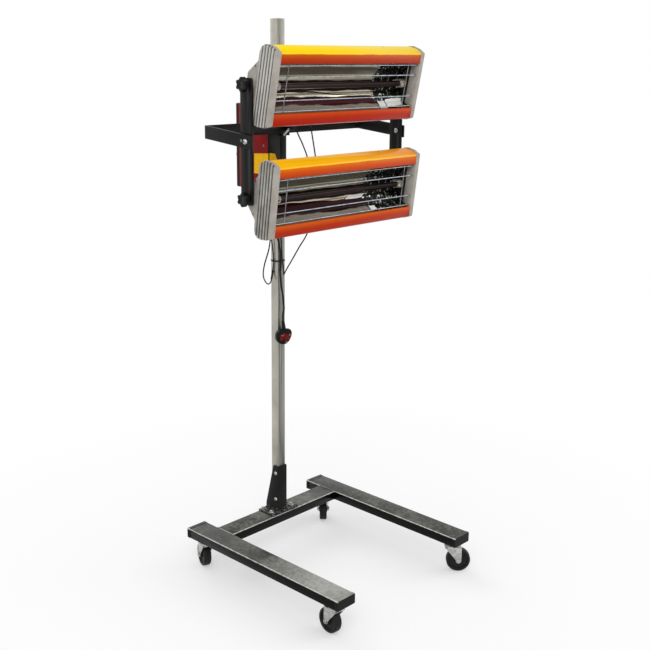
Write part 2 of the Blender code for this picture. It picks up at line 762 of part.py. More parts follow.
def build_foot():
    """A bent channel that widens towards its plate, open at the back, holding the mast."""
    inner = MAST_SIZE / 2 + SEAT_GAP
    outer = inner + FOOT_WALL
    front = MAST_Y - outer
    half_plate = TUBE_WIDTH / 2
    top = FOOT_TOP + FOOT_HEIGHT
    low = FOOT_TOP - WELD_OVERLAP
    plate = rounded_rectangle(FOOT_PLATE_LENGTH, 2 * half_plate, FOOT_WALL, 2, (0.0, MAST_Y))
    foot = add("mast_foot", prism(plate, "Z", BASE_TOP + SEAT_GAP, FOOT_TOP), "black_paint")
    cheek = [(front, low), (front + FOOT_BOTTOM_DEPTH, low),
             (front + FOOT_BOTTOM_DEPTH, low + FOOT_HEIGHT / 12), (front + FOOT_TOP_DEPTH, top),
             (front, top)]
    web = block((-outer, front, low), (outer, front + FOOT_WALL, top))
    join(foot, prism(cheek, "X", -outer, -inner), prism(cheek, "X", inner, outer), web)


def build_mast():
    outer = rounded_rectangle(MAST_SIZE, MAST_SIZE, MAST_CORNER, 2, (0.0, MAST_Y))
    bore_size = MAST_SIZE - 2 * MAST_WALL
    inner = rounded_rectangle(bore_size, bore_size, MAST_CORNER / 2, 2, (0.0, MAST_Y))
    add("mast", hollow_prism(outer, inner, "Z", FOOT_TOP + SEAT_GAP, MAST_TOP), "chrome")
    plug_size = bore_size - 2 * SEAT_GAP
    plug = rounded_rectangle(plug_size, plug_size, MAST_CORNER / 2, 2, (0.0, MAST_Y))
    add("mast_plug", prism(plug, "Z", MAST_TOP - MAST_PLUG_LENGTH, MAST_TOP), "black_plastic")


# Sleeve, clamp and yoke

def build_sleeve():
    """The tube that slides on the mast, with the welded block that carries the yoke."""
    outer = rounded_rectangle(2 * SLEEVE_HALF, 2 * SLEEVE_HALF, SLEEVE_WALL, 2, (0.0, MAST_Y))
    bore = MAST_SIZE + 2 * RUN_GAP
    inner = rounded_rectangle(bore, bore, MAST_CORNER, 2, (0.0, MAST_Y))
    sleeve = add("sleeve", hollow_prism(outer, inner, "Z", SLEEVE_TOP - SLEEVE_LENGTH, SLEEVE_TOP),
                 "black_paint")
    half = SLEEVE_HALF - SLEEVE_WALL
    join(sleeve, block((-half, BAR_REAR_Y + SEAT_GAP, HEAD_HEIGHT - BLOCK_HEIGHT / 2),
                       (half, MAST_Y - SLEEVE_HALF + WELD_OVERLAP, HEAD_HEIGHT + BLOCK_HEIGHT / 2)))
    cut(sleeve, clamp_hole())


def clamp_hole():
    radius = CLAMP_RADIUS + SEAT_GAP
    low = BAR_FRONT_Y - CUT_OVERRUN
    return turned([(low, radius), (MAST_Y - MAST_SIZE / 2, radius)], "Y", 16, (0.0, HEAD_HEIGHT))


def build_clamp():
    """The screw that locks the head on the mast, and the tee bar that turns it."""
    tip = -MAST_SIZE / 2 - SEAT_GAP
    collar = BAR_FRONT_Y - SEAT_GAP - MAST_Y
    head_start = collar - CLAMP_COLLAR
    head_end = head_start - CLAMP_HEAD_LENGTH
    edge = CLAMP_RADIUS / 4
    profile = [(tip, CLAMP_RADIUS - edge), (tip - edge, CLAMP_RADIUS), (collar, CLAMP_RADIUS),
               (collar, CLAMP_COLLAR_RADIUS), (head_start, CLAMP_COLLAR_RADIUS),
               (head_start, CLAMP_HEAD_RADIUS), (head_end + edge, CLAMP_HEAD_RADIUS),
               (head_end, CLAMP_HEAD_RADIUS - edge)]
    axis = empty("clamp_axis", (0.0, MAST_Y, HEAD_HEIGHT))
    screw = add("clamp_screw", turned(profile, "Y", 16), "black_paint", axis, smooth=True)
    bar_y = (head_start + head_end) / 2
    angle = math.radians(TEE_REST_ANGLE)
    reach = CLAMP_HEAD_RADIUS + CUT_OVERRUN
    turn = Matrix.Rotation(-angle, 4, "Y")
    hole = turned([(-reach, TEE_RADIUS + SEAT_GAP), (reach, TEE_RADIUS + SEAT_GAP)], "X", 12, (bar_y, 0.0))
    bmesh.ops.transform(hole, matrix=turn, verts=hole.verts)
    cut(screw, hole)
    half = TEE_LENGTH / 2
    bar = turned([(-half, TEE_RADIUS - TEE_END), (-half + TEE_END, TEE_RADIUS), (half - TEE_END, TEE_RADIUS),
                  (half, TEE_RADIUS - TEE_END)], "X", 12, (bar_y, 0.0))
    bmesh.ops.transform(bar, matrix=turn, verts=bar.verts)
    add("clamp_tee_bar", bar, "zinc", axis, smooth=True)


def yoke_path():
    """The bar's outer face in plan, from the left arm's front end round to the right arm's."""
    front = PIVOT_Y - ARM_END_OVERHANG
    bend = BAR_BEND_RADIUS
    left = [(-ARM_OUT_X, front), (-ARM_OUT_X, PIVOT_Y + ARM_END_OVERHANG)]
    for i in range(BAR_BEND_STEPS + 1):
        angle = math.pi - math.pi / 2 * i / BAR_BEND_STEPS
        left.append((-ARM_OUT_X + bend + bend * math.cos(angle), BAR_REAR_Y - bend + bend * math.sin(angle)))
    right = [(-x, y) for x, y in reversed(left)]
    return left + right


def build_yoke():
    """One flat bar bent twice; its arms fall a little towards the front."""
    outer = yoke_path()
    inner = shifted_path(outer, BAR_THICKNESS)
    slope = ARM_DROP / (BAR_REAR_Y - BAR_BEND_RADIUS - PIVOT_Y)
    rings = []
    for (xo, yo), (xi, yi) in zip(outer, inner):
        drop = slope * max(0.0, BAR_REAR_Y - BAR_BEND_RADIUS - yo)
        low = HEAD_HEIGHT - BAR_HEIGHT / 2 - drop
        high = low + BAR_HEIGHT
        rings.append([Vector((xo, yo, low)), Vector((xi, yi, low)), Vector((xi, yi, high)),
                      Vector((xo, yo, high))])
    yoke = add("yoke", skin(rings), "black_paint")
    cut(yoke, clamp_hole(), frame_bolt_hole(-1), frame_bolt_hole(1))


def frame_bolt_hole(side):
    radius = STUD_RADIUS + SEAT_GAP
    inner = side * (UPRIGHT_IN_X - CUT_OVERRUN)
    outer = side * (ARM_OUT_X + CUT_OVERRUN)
    return turned([(min(inner, outer), radius), (max(inner, outer), radius)], "X", 12,
                  (PIVOT_Y, FRAME_BOLT_Z))


def pivot_hole(side, level):
    radius = STUD_RADIUS + SEAT_GAP
    inner = side * (UPRIGHT_IN_X - CUT_OVERRUN)
    outer = side * (UPRIGHT_OUT_X + CUT_OVERRUN)
    return turned([(min(inner, outer), radius), (max(inner, outer), radius)], "X", 12,
                  (PIVOT_Y, PIVOT_Z[level]))


def build_uprights():
    height = PIVOT_SPACING + 2 * UPRIGHT_END
    mid = FRAME_BOLT_Z - PIVOT_CENTRE_DROP
    middle = (PIVOT_Y + UPRIGHT_REAR_SET, mid)
    outline = rounded_rectangle(UPRIGHT_WIDTH, height, UPRIGHT_CORNER, 3, middle)
    for side, name in ((-1, "upright_left"), (1, "upright_right")):
        faces = sorted((side * UPRIGHT_IN_X, side * UPRIGHT_OUT_X))
        bar = add(name, prism(outline, "X", faces[0], faces[1]), "black_paint")
        cut(bar, frame_bolt_hole(side), pivot_hole(side, "upper"), pivot_hole(side, "lower"))


def frame_bolt(side):
    """Bolt that holds an upright to the yoke's arm, its domed head outside and its nut inside."""
    head = ARM_OUT_X + SEAT_GAP
    nut = UPRIGHT_IN_X - SEAT_GAP
    far = head + FRAME_BOLT_HEAD_HEIGHT
    near = nut - FRAME_NUT_HEIGHT
    radius = FRAME_BOLT_HEAD_RADIUS
    profile = [(near, radius), (nut, radius), (nut, STUD_RADIUS), (head, STUD_RADIUS), (head, radius),
               (far - FRAME_BOLT_HEAD_HEIGHT / 3, radius * BOLT_DOME_SHARE), (far, radius / 2)]
    profile = [(side * level, r) for level, r in profile]
    return turned(profile, "X", 12, (PIVOT_Y, FRAME_BOLT_Z))


def build_frame_bolts():
    add("frame_bolt_left", frame_bolt(-1), "zinc", smooth=True)
    add("frame_bolt_right", frame_bolt(1), "zinc", smooth=True)


# Tilt knobs

def lobed(radius, lobe, count):
    points = []
    for i in range(count):
        turn = 2 * math.pi * i / count
        r = radius + lobe * math.cos(KNOB_LOBES * turn)
        points.append((r * math.cos(turn), r * math.sin(turn)))
    return points


def knob_shape(side):
    """Star grip, collar against the upright and a stud that reaches into the cassette's boss."""
    count = KNOB_LOBES * KNOB_LOBE_POINTS
    collar = UPRIGHT_OUT_X + SEAT_GAP
    grip = collar + KNOB_COLLAR_LENGTH
    far = grip + KNOB_LENGTH
    tip = UPRIGHT_IN_X - KNOB_STUD_REACH
    full = lobed(KNOB_RADIUS, KNOB_LOBE, count)
    worn = lobed(KNOB_RADIUS - KNOB_EDGE, KNOB_LOBE, count)
    rings = [(tip, circle(STUD_RADIUS, count)), (collar, circle(STUD_RADIUS, count)),
             (collar, circle(KNOB_COLLAR_RADIUS, count)), (grip, circle(KNOB_COLLAR_RADIUS, count)),
             (grip, worn), (grip + KNOB_EDGE, full), (far - KNOB_EDGE, full), (far, worn)]
    return skin([ring(outline, side * level, "X") for level, outline in rings])


def build_knobs():
    for level in ("upper", "lower"):
        for side, word in ((-1, "left"), (1, "right")):
            name = "tilt_knob_" + level + "_" + word
            add(name, knob_shape(side), "black_plastic", location=(0.0, PIVOT_Y, PIVOT_Z[level]), smooth=True)


# Cassettes, drawn about their own middle with the lamp facing -Y

def rail_path():
    half = OPENING_HEIGHT / 2
    return [(-PIVOT_TO_FRONT + back * CASSETTE_DEPTH, half + up * RAIL_HEIGHT)
            for back, up in RAIL_OUTLINE_SHARES]


def mirrored(path):
    return [(y, -z) for y, z in reversed(path)]


def back_path():
    """Inner face of the back cover, from its top lap round the rear to its bottom lap."""
    top = [(BACK_INNER_Y, BACK_SHOULDER_HEIGHT / 2 + BACK_LAP), (BACK_INNER_Y, BACK_SHOULDER_HEIGHT / 2),
           (BACK_REACH, BACK_FLAT_HEIGHT / 2)]
    return top + mirrored(top)


def reflector_path():
    lip = RAIL_OUTLINE_SHARES[0][0] * CASSETTE_DEPTH
    front = -PIVOT_TO_FRONT + lip + SEAT_GAP
    half = OPENING_HEIGHT / 2
    return [(front + back * REFLECTOR_DEPTH, up * half) for back, up in REFLECTOR_SHARES]


def build_rails(level, frame):
    half = RAIL_LENGTH / 2
    top = strip(rail_path(), RAIL_WALL)
    bottom = strip(mirrored(rail_path()), RAIL_WALL)
    add("top_rail_" + level, prism(top, "X", -half, half), "orange_paint", frame, (0.0, 0.0, CASSETTE_RISE))
    add("bottom_rail_" + level, prism(bottom, "X", -half, half), "orange_paint", frame,
        (0.0, 0.0, CASSETTE_RISE))


def cap_outline():
    outer = rail_path()[1:]
    return shifted_path(outer + mirrored(outer), -CAP_LIP, closed=True)


def cap_rings():
    """Outlines of a cap from its inner face out, drawn in towards its rounded shoulder."""
    outline = cap_outline()
    rings = [(CAP_INNER_X, outline)]
    for i in range(CAP_SHOULDER_STEPS + 1):
        angle = math.pi / 2 * i / CAP_SHOULDER_STEPS
        inset = CAP_SHOULDER_INSET * (1 - math.cos(angle))
        x = CAP_OUTER_X - CAP_SHOULDER_REACH * (1 - math.sin(angle))
        rings.append((x, shifted_path(outline, inset, closed=True)))
    return rings


def ear_outline():
    path = shifted_path(back_path(), -BACK_SHEET - CAP_LIP)
    front = -PIVOT_TO_FRONT + CASSETTE_DEPTH / 2
    return [(front, path[0][1]), *path, (front, path[-1][1])]


def cap_groove(side, index):
    """One of the open flutes in a cap's outer face."""
    middle = -PIVOT_TO_FRONT + CASSETTE_DEPTH - CAP_FIRST_GROOVE - index * CAP_GROOVE_PITCH
    low = middle - CAP_GROOVE_WIDTH / 2
    high = middle + CAP_GROOVE_WIDTH / 2
    inside = side * (CAP_OUTER_X - CAP_GROOVE_DEPTH)
    outside = side * (CAP_OUTER_X + CUT_OVERRUN)
    reach = OPENING_HEIGHT / 2 + RAIL_HEIGHT + CAP_LIP + CUT_OVERRUN
    return block((min(inside, outside), low, -reach), (max(inside, outside), high, reach))


def build_cap(level, side, word, frame):
    """End casting: fluted outside, with a thinner ear and a boss that carries the pivot stud."""
    body = skin([ring(points, side * x, "X") for x, points in cap_rings()])
    cap = add("end_cap_" + word + "_" + level, body, "grey_cast", frame, (0.0, 0.0, CASSETTE_RISE))
    ear_faces = sorted((side * CAP_INNER_X, side * (CAP_INNER_X + EAR_THICKNESS)))
    boss_faces = sorted((side * (CAP_INNER_X + EAR_THICKNESS - WELD_OVERLAP), side * EAR_BOSS_X))
    centre = (0.0, -CASSETTE_RISE)
    boss = turned([(x, EAR_BOSS_RADIUS) for x in boss_faces], "X", EAR_BOSS_SIDES, centre)
    join(cap, prism(ear_outline(), "X", ear_faces[0], ear_faces[1]), boss)
    bore_end = UPRIGHT_IN_X - KNOB_STUD_REACH - STUD_RADIUS / 2
    bore = sorted((side * bore_end, side * (EAR_BOSS_X + CUT_OVERRUN)))
    cut(cap, turned([(x, STUD_RADIUS + SEAT_GAP) for x in bore], "X", 12, centre))
    cut(cap, *[cap_groove(side, index) for index in range(CAP_GROOVES)])


def gland(low, high, centre):
    """A short cable gland along Y, from the back cover to the mouth where the lead leaves."""
    shoulder = low + (high - low) * GLAND_SHOULDER_SHARE
    return turned([(low, GLAND_RADIUS), (shoulder, GLAND_RADIUS), (high, GLAND_NECK_RADIUS)], "Y",
                  GLAND_SIDES, centre)


def slope_gland_place():
    """The middle of the back cover's lower slope, and the way square out of it."""
    path = back_path()
    start = Vector(path[3])
    end = Vector(path[4])
    slope = (end - start).normalized()
    return (start + end) / 2, Vector((-slope.y, slope.x))


def sloped_gland(x):
    """A gland square to the lower slope of the back cover."""
    root, outward = slope_gland_place()
    shoulder = GLAND_LENGTH * GLAND_SHOULDER_SHARE
    profile = [(0.0, GLAND_RADIUS), (shoulder, GLAND_RADIUS), (GLAND_LENGTH, GLAND_NECK_RADIUS)]
    shape = turned(profile, "Y", GLAND_SIDES)
    turn = Matrix.Rotation(math.atan2(outward.y, outward.x), 4, "X")
    bmesh.ops.transform(shape, matrix=Matrix.Translation((x, root.x, root.y)) @ turn, verts=shape.verts)
    return shape


def build_back(level, frame):
    half = RAIL_LENGTH / 2
    outline = strip(back_path(), -BACK_SHEET)
    cover = add("back_cover_" + level, prism(outline, "X", -half, half), "aluminium", frame,
                (0.0, 0.0, CASSETTE_RISE))
    root = BACK_REACH + BACK_SHEET / 2
    mouth = root + GLAND_LENGTH
    if level == "upper":
        join(cover, gland(root, mouth, (UPPER_LEAD_X, -CASSETTE_RISE)),
             gland(root, mouth, (SECOND_LEAD_X, -CASSETTE_RISE)))
    else:
        join(cover, sloped_gland(LOWER_LEAD_X))


def build_reflector(level, frame):
    half = RAIL_LENGTH / 2
    outline = strip(reflector_path(), -REFLECTOR_SHEET)
    add("reflector_" + level, prism(outline, "X", -half, half), "mirror", frame, (0.0, 0.0, CASSETTE_RISE))


def build_lamp(level, frame):
    """A quartz tube with the ceramic bases that are cemented on its ends."""
    half = RAIL_LENGTH / 2 - TUBE_LAMP_END_GAP
    edge = TUBE_LAMP_RADIUS / 3
    profile = [(-half, TUBE_LAMP_RADIUS - edge), (-half + edge, TUBE_LAMP_RADIUS),
               (half - edge, TUBE_LAMP_RADIUS), (half, TUBE_LAMP_RADIUS - edge)]
    lamp = add("lamp_tube_" + level, turned(profile, "X", 16, (-TUBE_LAMP_FROM_PIVOT, 0.0)), "ruby_quartz",
               frame, (0.0, 0.0, CASSETTE_RISE))
    front = -TUBE_LAMP_FROM_PIVOT - TUBE_LAMP_RADIUS - BASE_FRONT_WALL
    back = reflector_path()[2][0] - SEAT_GAP
    middle = ((back + front) / 2, 0.0)
    outline = rounded_rectangle(back - front, LAMP_BASE_HEIGHT, LAMP_BASE_CORNER, 3, middle)
    outer = half - LAMP_BASE_END_INSET
    inner = outer - LAMP_BASE_WIDTH
    join(lamp, prism(outline, "X", -outer, -inner), prism(outline, "X", inner, outer))


def build_guard(level, frame):
    """Four long wires and two posts, welded where they cross."""
    half = RAIL_LENGTH / 2
    front = -GUARD_FROM_PIVOT
    heights = [GUARD_MID_SPACING / 2, -GUARD_MID_SPACING / 2, GUARD_EDGE_SPACING / 2, -GUARD_EDGE_SPACING / 2]
    ends = [(-half, WIRE_RADIUS), (half, WIRE_RADIUS)]
    wires = [turned(ends, "X", WIRE_SIDES, (front, z)) for z in heights]
    reach = GUARD_EDGE_SPACING / 2 + 2 * WIRE_RADIUS
    behind = front + 2 * WIRE_RADIUS - GUARD_SINK
    posts = [turned([(-reach, WIRE_RADIUS), (reach, WIRE_RADIUS)], "Z", WIRE_SIDES,
                    (side * (half - GUARD_POST_INSET), behind), math.pi / WIRE_SIDES) for side in (-1, 1)]
    guard = add("guard_" + level, posts[0], "zinc", frame, (0.0, 0.0, CASSETTE_RISE))
    join(guard, *wires, posts[1])


def build_cassette(level):
    turn = (math.radians(CASSETTE_TILTS[level]), 0.0, 0.0)
    frame = empty("cassette_axis_" + level, (0.0, PIVOT_Y, PIVOT_Z[level]), turn)
    build_rails(level, frame)
    build_cap(level, -1, "left", frame)
    build_cap(level, 1, "right", frame)
    build_back(level, frame)
    build_reflector(level, frame)
    build_lamp(level, frame)
    build_guard(level, frame)


# Control box

def box_outline():
    middle = (BOX_MID_X, BOX_BOTTOM + BOX_HEIGHT / 2)
    return rounded_rectangle(BOX_WIDTH, BOX_HEIGHT, BOX_CORNER, 2, middle)


def build_box_shell():
    """A folded sheet that makes the sides, top and bottom; the plates close its ends."""
    outer = box_outline()
    middle = (BOX_MID_X, BOX_BOTTOM + BOX_HEIGHT / 2)
    inner = rounded_rectangle(BOX_WIDTH - 2 * BOX_SHEET, BOX_HEIGHT - 2 * BOX_SHEET,
                              BOX_CORNER - BOX_SHEET, 2, middle)
    front = BOX_FRONT_Y + BOX_PLATE + SEAT_GAP
    rear = BOX_REAR_Y - BOX_LID_DEPTH - SEAT_GAP
    add("box_shell", hollow_prism(outer, inner, "Y", front, rear), "red_paint")
    add("box_front_plate", prism(outer, "Y", BOX_FRONT_Y, BOX_FRONT_Y + BOX_PLATE), "black_paint")


def rocker_z(index):
    return BOX_BOTTOM + BOX_HEIGHT - ROCKER_BELOW_TOP[index]


def timer_z():
    return BOX_BOTTOM + BOX_HEIGHT - TIMER_BELOW_TOP


def build_box_panel():
    """A shallow moulded lid that carries the switches."""
    low = BOX_REAR_Y - BOX_PLATE
    mouth = BOX_REAR_Y - BOX_LID_DEPTH
    panel = add("box_back_panel", prism(box_outline(), "Y", mouth, BOX_REAR_Y), "black_plastic")
    middle = (BOX_MID_X, BOX_BOTTOM + BOX_HEIGHT / 2)
    hollow = rounded_rectangle(BOX_WIDTH - 2 * BOX_LID_WALL, BOX_HEIGHT - 2 * BOX_LID_WALL,
                               BOX_CORNER - BOX_LID_WALL, 2, middle)
    cut(panel, prism(hollow, "Y", mouth - CUT_OVERRUN, low))
    half_x = ROCKER_WIDTH / 2 + SEAT_GAP
    half_z = ROCKER_HEIGHT / 2 + ROCKER_END_CLEARANCE
    for index in (0, 1):
        z = rocker_z(index)
        cut(panel, block((BOX_MID_X - half_x, low - CUT_OVERRUN, z - half_z),
                         (BOX_MID_X + half_x, BOX_REAR_Y + CUT_OVERRUN, z + half_z)))
    radius = TIMER_SHAFT_RADIUS + SEAT_GAP
    cut(panel, turned([(low - CUT_OVERRUN, radius), (BOX_REAR_Y + CUT_OVERRUN, radius)], "Y", 12,
                      (BOX_MID_X, timer_z())))


def build_rockers():
    """Rocker switches with a dished face, each turning on an axis just behind the panel's face."""
    half = ROCKER_HEIGHT / 2
    face = ROCKER_PROUD
    back = ROCKER_PROUD - ROCKER_DEPTH
    slim = half * ROCKER_BACK_SHARE
    outline = [(back, -slim), (0.0, -half), (face, -half), (face - ROCKER_DISH, 0.0), (face, half),
               (0.0, half), (back, slim)]
    for index, name in ((0, "rocker_upper"), (1, "rocker_lower")):
        shape = prism(outline, "X", -ROCKER_WIDTH / 2, ROCKER_WIDTH / 2)
        add(name, shape, "black_plastic", location=(BOX_MID_X, BOX_REAR_Y, rocker_z(index)))


def build_timer():
    """Timer knob with a finned skirt, on a shaft that passes through the panel."""
    root = SEAT_GAP
    far = root + TIMER_LENGTH
    skirt = root + TIMER_LENGTH / 4
    count = TIMER_SIDES
    waist = TIMER_RADIUS * TIMER_GRIP_SHARE
    finned = [waist - (TIMER_GRIP_STEP if i % 2 else 0.0) for i in range(count)]
    grip = []
    for i, radius in enumerate(finned):
        turn = 2 * math.pi * i / count
        grip.append((radius * math.cos(turn), radius * math.sin(turn)))
    shaft = circle(TIMER_SHAFT_RADIUS, count)
    rim = circle(TIMER_RADIUS, count)
    rings = [(-TIMER_SHAFT_LENGTH, shaft), (root, shaft), (root, rim), (skirt, rim), (skirt, grip),
             (far, grip)]
    shape = skin([ring(outline, level, "Y") for level, outline in rings])
    add("timer_knob", shape, "black_plastic", location=(BOX_MID_X, BOX_REAR_Y, timer_z()))


def build_box_glands():
    """A moulded strip under the box with four nozzles; the mains cord's is a longer strain relief."""
    top = BOX_BOTTOM - SEAT_GAP
    plate = top - GLAND_STRIP_THICKNESS
    low = top - BOX_GLAND_LENGTH
    front = BOX_FRONT_Y + BOX_GLAND_FRONT_INSET
    rear = BOX_FRONT_Y + BOX_GLAND_REAR_INSET
    half = BOX_GLAND_PITCH / 2
    edge = BOX_GLAND_RADIUS + GLAND_STRIP_MARGIN
    strip_low = (BOX_MID_X - half - edge, front - edge, plate)
    strip_high = (BOX_MID_X + half + edge, rear + edge, top)
    glands = add("box_gland_strip", block(strip_low, strip_high), "black_plastic")
    shoulder = top - BOX_GLAND_LENGTH / 2
    relief = top - BOX_RELIEF_LENGTH
    nozzles = ((BOX_MID_X - half, front, relief), (BOX_MID_X + half, front, low),
               (BOX_MID_X - half, rear, low), (BOX_MID_X + half, rear, low))
    for x, y, tip in nozzles:
        profile = [(plate + WELD_OVERLAP, BOX_GLAND_RADIUS), (shoulder, BOX_GLAND_RADIUS),
                   (tip, BOX_GLAND_NECK)]
        join(glands, turned(profile, "Z", GLAND_SIDES, (x, y)))


# Cords and the mains plug

def plug_outline():
    half = PLUG_WIDTH / 2
    shoulder = half * PLUG_SHOULDER_SHARE
    low = 0.0 - PLUG_HEIGHT
    edge = PLUG_CORNER
    return [(-shoulder, 0.0), (-half, -edge), (-half, low + edge), (-half + edge, low), (half - edge, low),
            (half, low + edge), (half, -edge), (shoulder, 0.0)]


def build_plug():
    """A three-pin plug that hangs on the cord with its pins to the front."""
    x, middle, hang = from_mast(*PLUG_HANG)
    neck_top = hang - SEAT_GAP
    top = neck_top - PLUG_NECK_LENGTH
    face = middle - PLUG_DEPTH / 2
    outline = plug_outline()
    inset = PLUG_HEIGHT * (1 - PLUG_SLIM_SHARE) / 2
    slim = [(a * PLUG_SLIM_SHARE, b * PLUG_SLIM_SHARE - inset) for a, b in outline]
    rings = [(middle + PLUG_DEPTH / 2, slim), (middle + PLUG_DEPTH / 4, outline),
             (middle - PLUG_DEPTH / 3, outline), (face, slim)]
    rings = [[Vector((x + a, level, top + b)) for a, b in points] for level, points in rings]
    plug = add("plug", skin(rings), "black_plastic")
    neck = [(neck_top, MAINS_DIAMETER * PLUG_NECK_SHARE), (top - PLUG_NECK_LENGTH / 4, PLUG_NECK_RADIUS)]
    join(plug, turned(neck, "Z", 12, (x, middle)))
    base = top - PLUG_HEIGHT + PIN_WIDTH
    for across, up, wide, tall in ((-1, 0, PIN_WIDTH, PIN_THICKNESS), (1, 0, PIN_WIDTH, PIN_THICKNESS),
                                   (0, 1, PIN_THICKNESS, PIN_WIDTH)):
        cx = x + across * PIN_SPREAD / 2
        cz = base + up * PIN_RISE + PIN_WIDTH / 2
        join(plug, block((cx - wide / 2, face - PIN_LENGTH, cz - tall / 2),
                         (cx + wide / 2, face + WELD_OVERLAP, cz + tall / 2)))


def build_tie():
    """A flat band round the mast and the three cords that it gathers."""
    right = MAST_SIZE / 2 + RUN_GAP
    middle = ((right - TIE_LEFT) / 2, MAST_Y + (right - TIE_FRONT) / 2)
    width = right + TIE_LEFT
    depth = right + TIE_FRONT
    inner = rounded_rectangle(width, depth, MAST_CORNER, 2, middle)
    outer = rounded_rectangle(width + 2 * TIE_BAND, depth + 2 * TIE_BAND, MAST_CORNER + TIE_BAND, 2, middle)
    level = HEAD_HEIGHT - TIE_BELOW_HEAD
    add("cable_tie", hollow_prism(outer, inner, "Z", level - TIE_HEIGHT / 2, level + TIE_HEIGHT / 2),
        "black_plastic")


def from_mast(x, y, z):
    return Vector((x, MAST_Y + y, HEAD_HEIGHT + z))


def on_cassette(level, x, y, z):
    """A point of a cassette's own frame, turned by its tilt."""
    turn = math.radians(CASSETTE_TILTS[level])
    depth = y * math.cos(turn) - z * math.sin(turn)
    rise = y * math.sin(turn) + z * math.cos(turn)
    return Vector((x, PIVOT_Y + depth, PIVOT_Z[level] + rise))


def gland_mouth(level, x):
    """Where a lead leaves a rear gland, and the way that the gland points."""
    mouth = BACK_REACH + BACK_SHEET / 2 + GLAND_LENGTH + SEAT_GAP
    point = on_cassette(level, x, mouth, 0.0)
    return point, (point - on_cassette(level, x, 0.0, 0.0)).normalized()


def slope_mouth(level, x):
    """The same for the gland on the back cover's lower slope."""
    root, outward = slope_gland_place()
    mouth = root + outward * (GLAND_LENGTH + SEAT_GAP)
    point = on_cassette(level, x, mouth.x, mouth.y + CASSETTE_RISE)
    base = on_cassette(level, x, root.x, root.y + CASSETTE_RISE)
    return point, (point - base).normalized()


def build_cords():
    up = Vector((0.0, 0.0, 1.0))
    half = BOX_GLAND_PITCH / 2
    mains_top = from_mast(BOX_MID_X - half, GLAND_FRONT_Y, RELIEF_BOTTOM)
    upper_top = from_mast(BOX_MID_X + half, GLAND_FRONT_Y, GLAND_BOTTOM)
    second_top = from_mast(BOX_MID_X - half, GLAND_REAR_Y, GLAND_BOTTOM)
    lower_top = from_mast(BOX_MID_X + half, GLAND_REAR_Y, GLAND_BOTTOM)
    add_cord("mains_cord", mains_top, -up, MAINS_ROUTE, -up, from_mast(*PLUG_HANG), MAINS_DIAMETER)
    mouth, way = gland_mouth("upper", UPPER_LEAD_X)
    add_cord("lead_upper", mouth, way, UPPER_LEAD_ROUTE, up, upper_top, LEAD_DIAMETER)
    mouth, way = gland_mouth("upper", SECOND_LEAD_X)
    add_cord("lead_second", mouth, way, SECOND_LEAD_ROUTE, up, second_top, LEAD_DIAMETER)
    mouth, way = slope_mouth("lower", LOWER_LEAD_X)
    add_cord("lead_lower", mouth, way, LOWER_LEAD_ROUTE, up, lower_top, LEAD_DIAMETER)
    build_plug()
    build_tie()


def build_all():
    clear_scene()
    build_legs()
    build_cross_member()
    build_caster_plates()
    build_casters()
    build_foot()
    build_mast()
    build_sleeve()
    build_clamp()
    build_yoke()
    build_uprights()
    build_frame_bolts()
    build_knobs()
    build_cassette("upper")
    build_cassette("lower")
    build_box_shell()
    build_box_panel()
    build_rockers()
    build_timer()
    build_box_glands()
    build_cords()


build_all()
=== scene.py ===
import json
from math import atan2, cos, pi, radians, sin, tau

import bmesh
import bpy
from mathutils import Matrix, Vector


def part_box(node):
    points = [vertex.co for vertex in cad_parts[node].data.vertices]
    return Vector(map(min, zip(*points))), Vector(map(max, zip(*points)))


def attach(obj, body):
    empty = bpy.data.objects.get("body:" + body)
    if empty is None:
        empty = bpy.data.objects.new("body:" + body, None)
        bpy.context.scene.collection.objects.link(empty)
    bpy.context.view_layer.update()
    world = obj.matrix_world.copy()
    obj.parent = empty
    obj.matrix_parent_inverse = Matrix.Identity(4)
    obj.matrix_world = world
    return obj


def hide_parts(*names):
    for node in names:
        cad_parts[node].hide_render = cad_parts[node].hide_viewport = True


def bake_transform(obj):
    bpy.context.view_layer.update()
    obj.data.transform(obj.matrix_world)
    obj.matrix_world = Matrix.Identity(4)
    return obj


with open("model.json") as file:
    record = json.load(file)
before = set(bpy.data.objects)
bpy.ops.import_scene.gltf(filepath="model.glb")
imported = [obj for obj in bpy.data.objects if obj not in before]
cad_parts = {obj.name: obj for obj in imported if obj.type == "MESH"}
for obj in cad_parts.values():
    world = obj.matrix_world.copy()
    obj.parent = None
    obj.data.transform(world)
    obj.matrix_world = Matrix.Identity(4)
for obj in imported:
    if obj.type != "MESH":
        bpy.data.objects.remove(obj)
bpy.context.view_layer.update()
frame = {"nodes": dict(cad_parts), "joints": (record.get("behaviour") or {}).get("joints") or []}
NODES = frame["nodes"]
JOINTS = {joint["name"]: joint for joint in frame["joints"]}
LEVELS = ("upper", "lower")
SIDES = (("left", -1), ("right", 1))
CORNERS = ("front_left", "front_right", "rear_left", "rear_right")
SQUARE = ((-1, -1), (1, -1), (1, 1), (-1, 1))
RIGHT, BACK, UP = Vector((1.0, 0.0, 0.0)), Vector((0.0, 1.0, 0.0)), Vector((0.0, 0.0, 1.0))

# Camera, at the photograph's place: its turns are yaw, pitch and roll
CAMERA_PLACE = (-2.1241, -2.0032, 1.5541)
CAMERA_TURNS = (46.3835, 14.8679, 0.5335)
CAMERA_LENS = 57.5
SENSOR_WIDTH = 36.0

# Sizes shared with the CAD source
CASSETTE_TILTS = {"upper": 11.2, "lower": 7.2}
CASSETTE_RISE = 0.005
CASSETTE_HALF_HEIGHT = 0.104
HEAD_HEIGHT = 1.337
SEAT_GAP = 0.0003
BASE_TOP = 0.128
LEG_X = 0.26
TUBE_HALF = 0.035


def box_middle(node):
    low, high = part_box(node)
    return (low + high) / 2


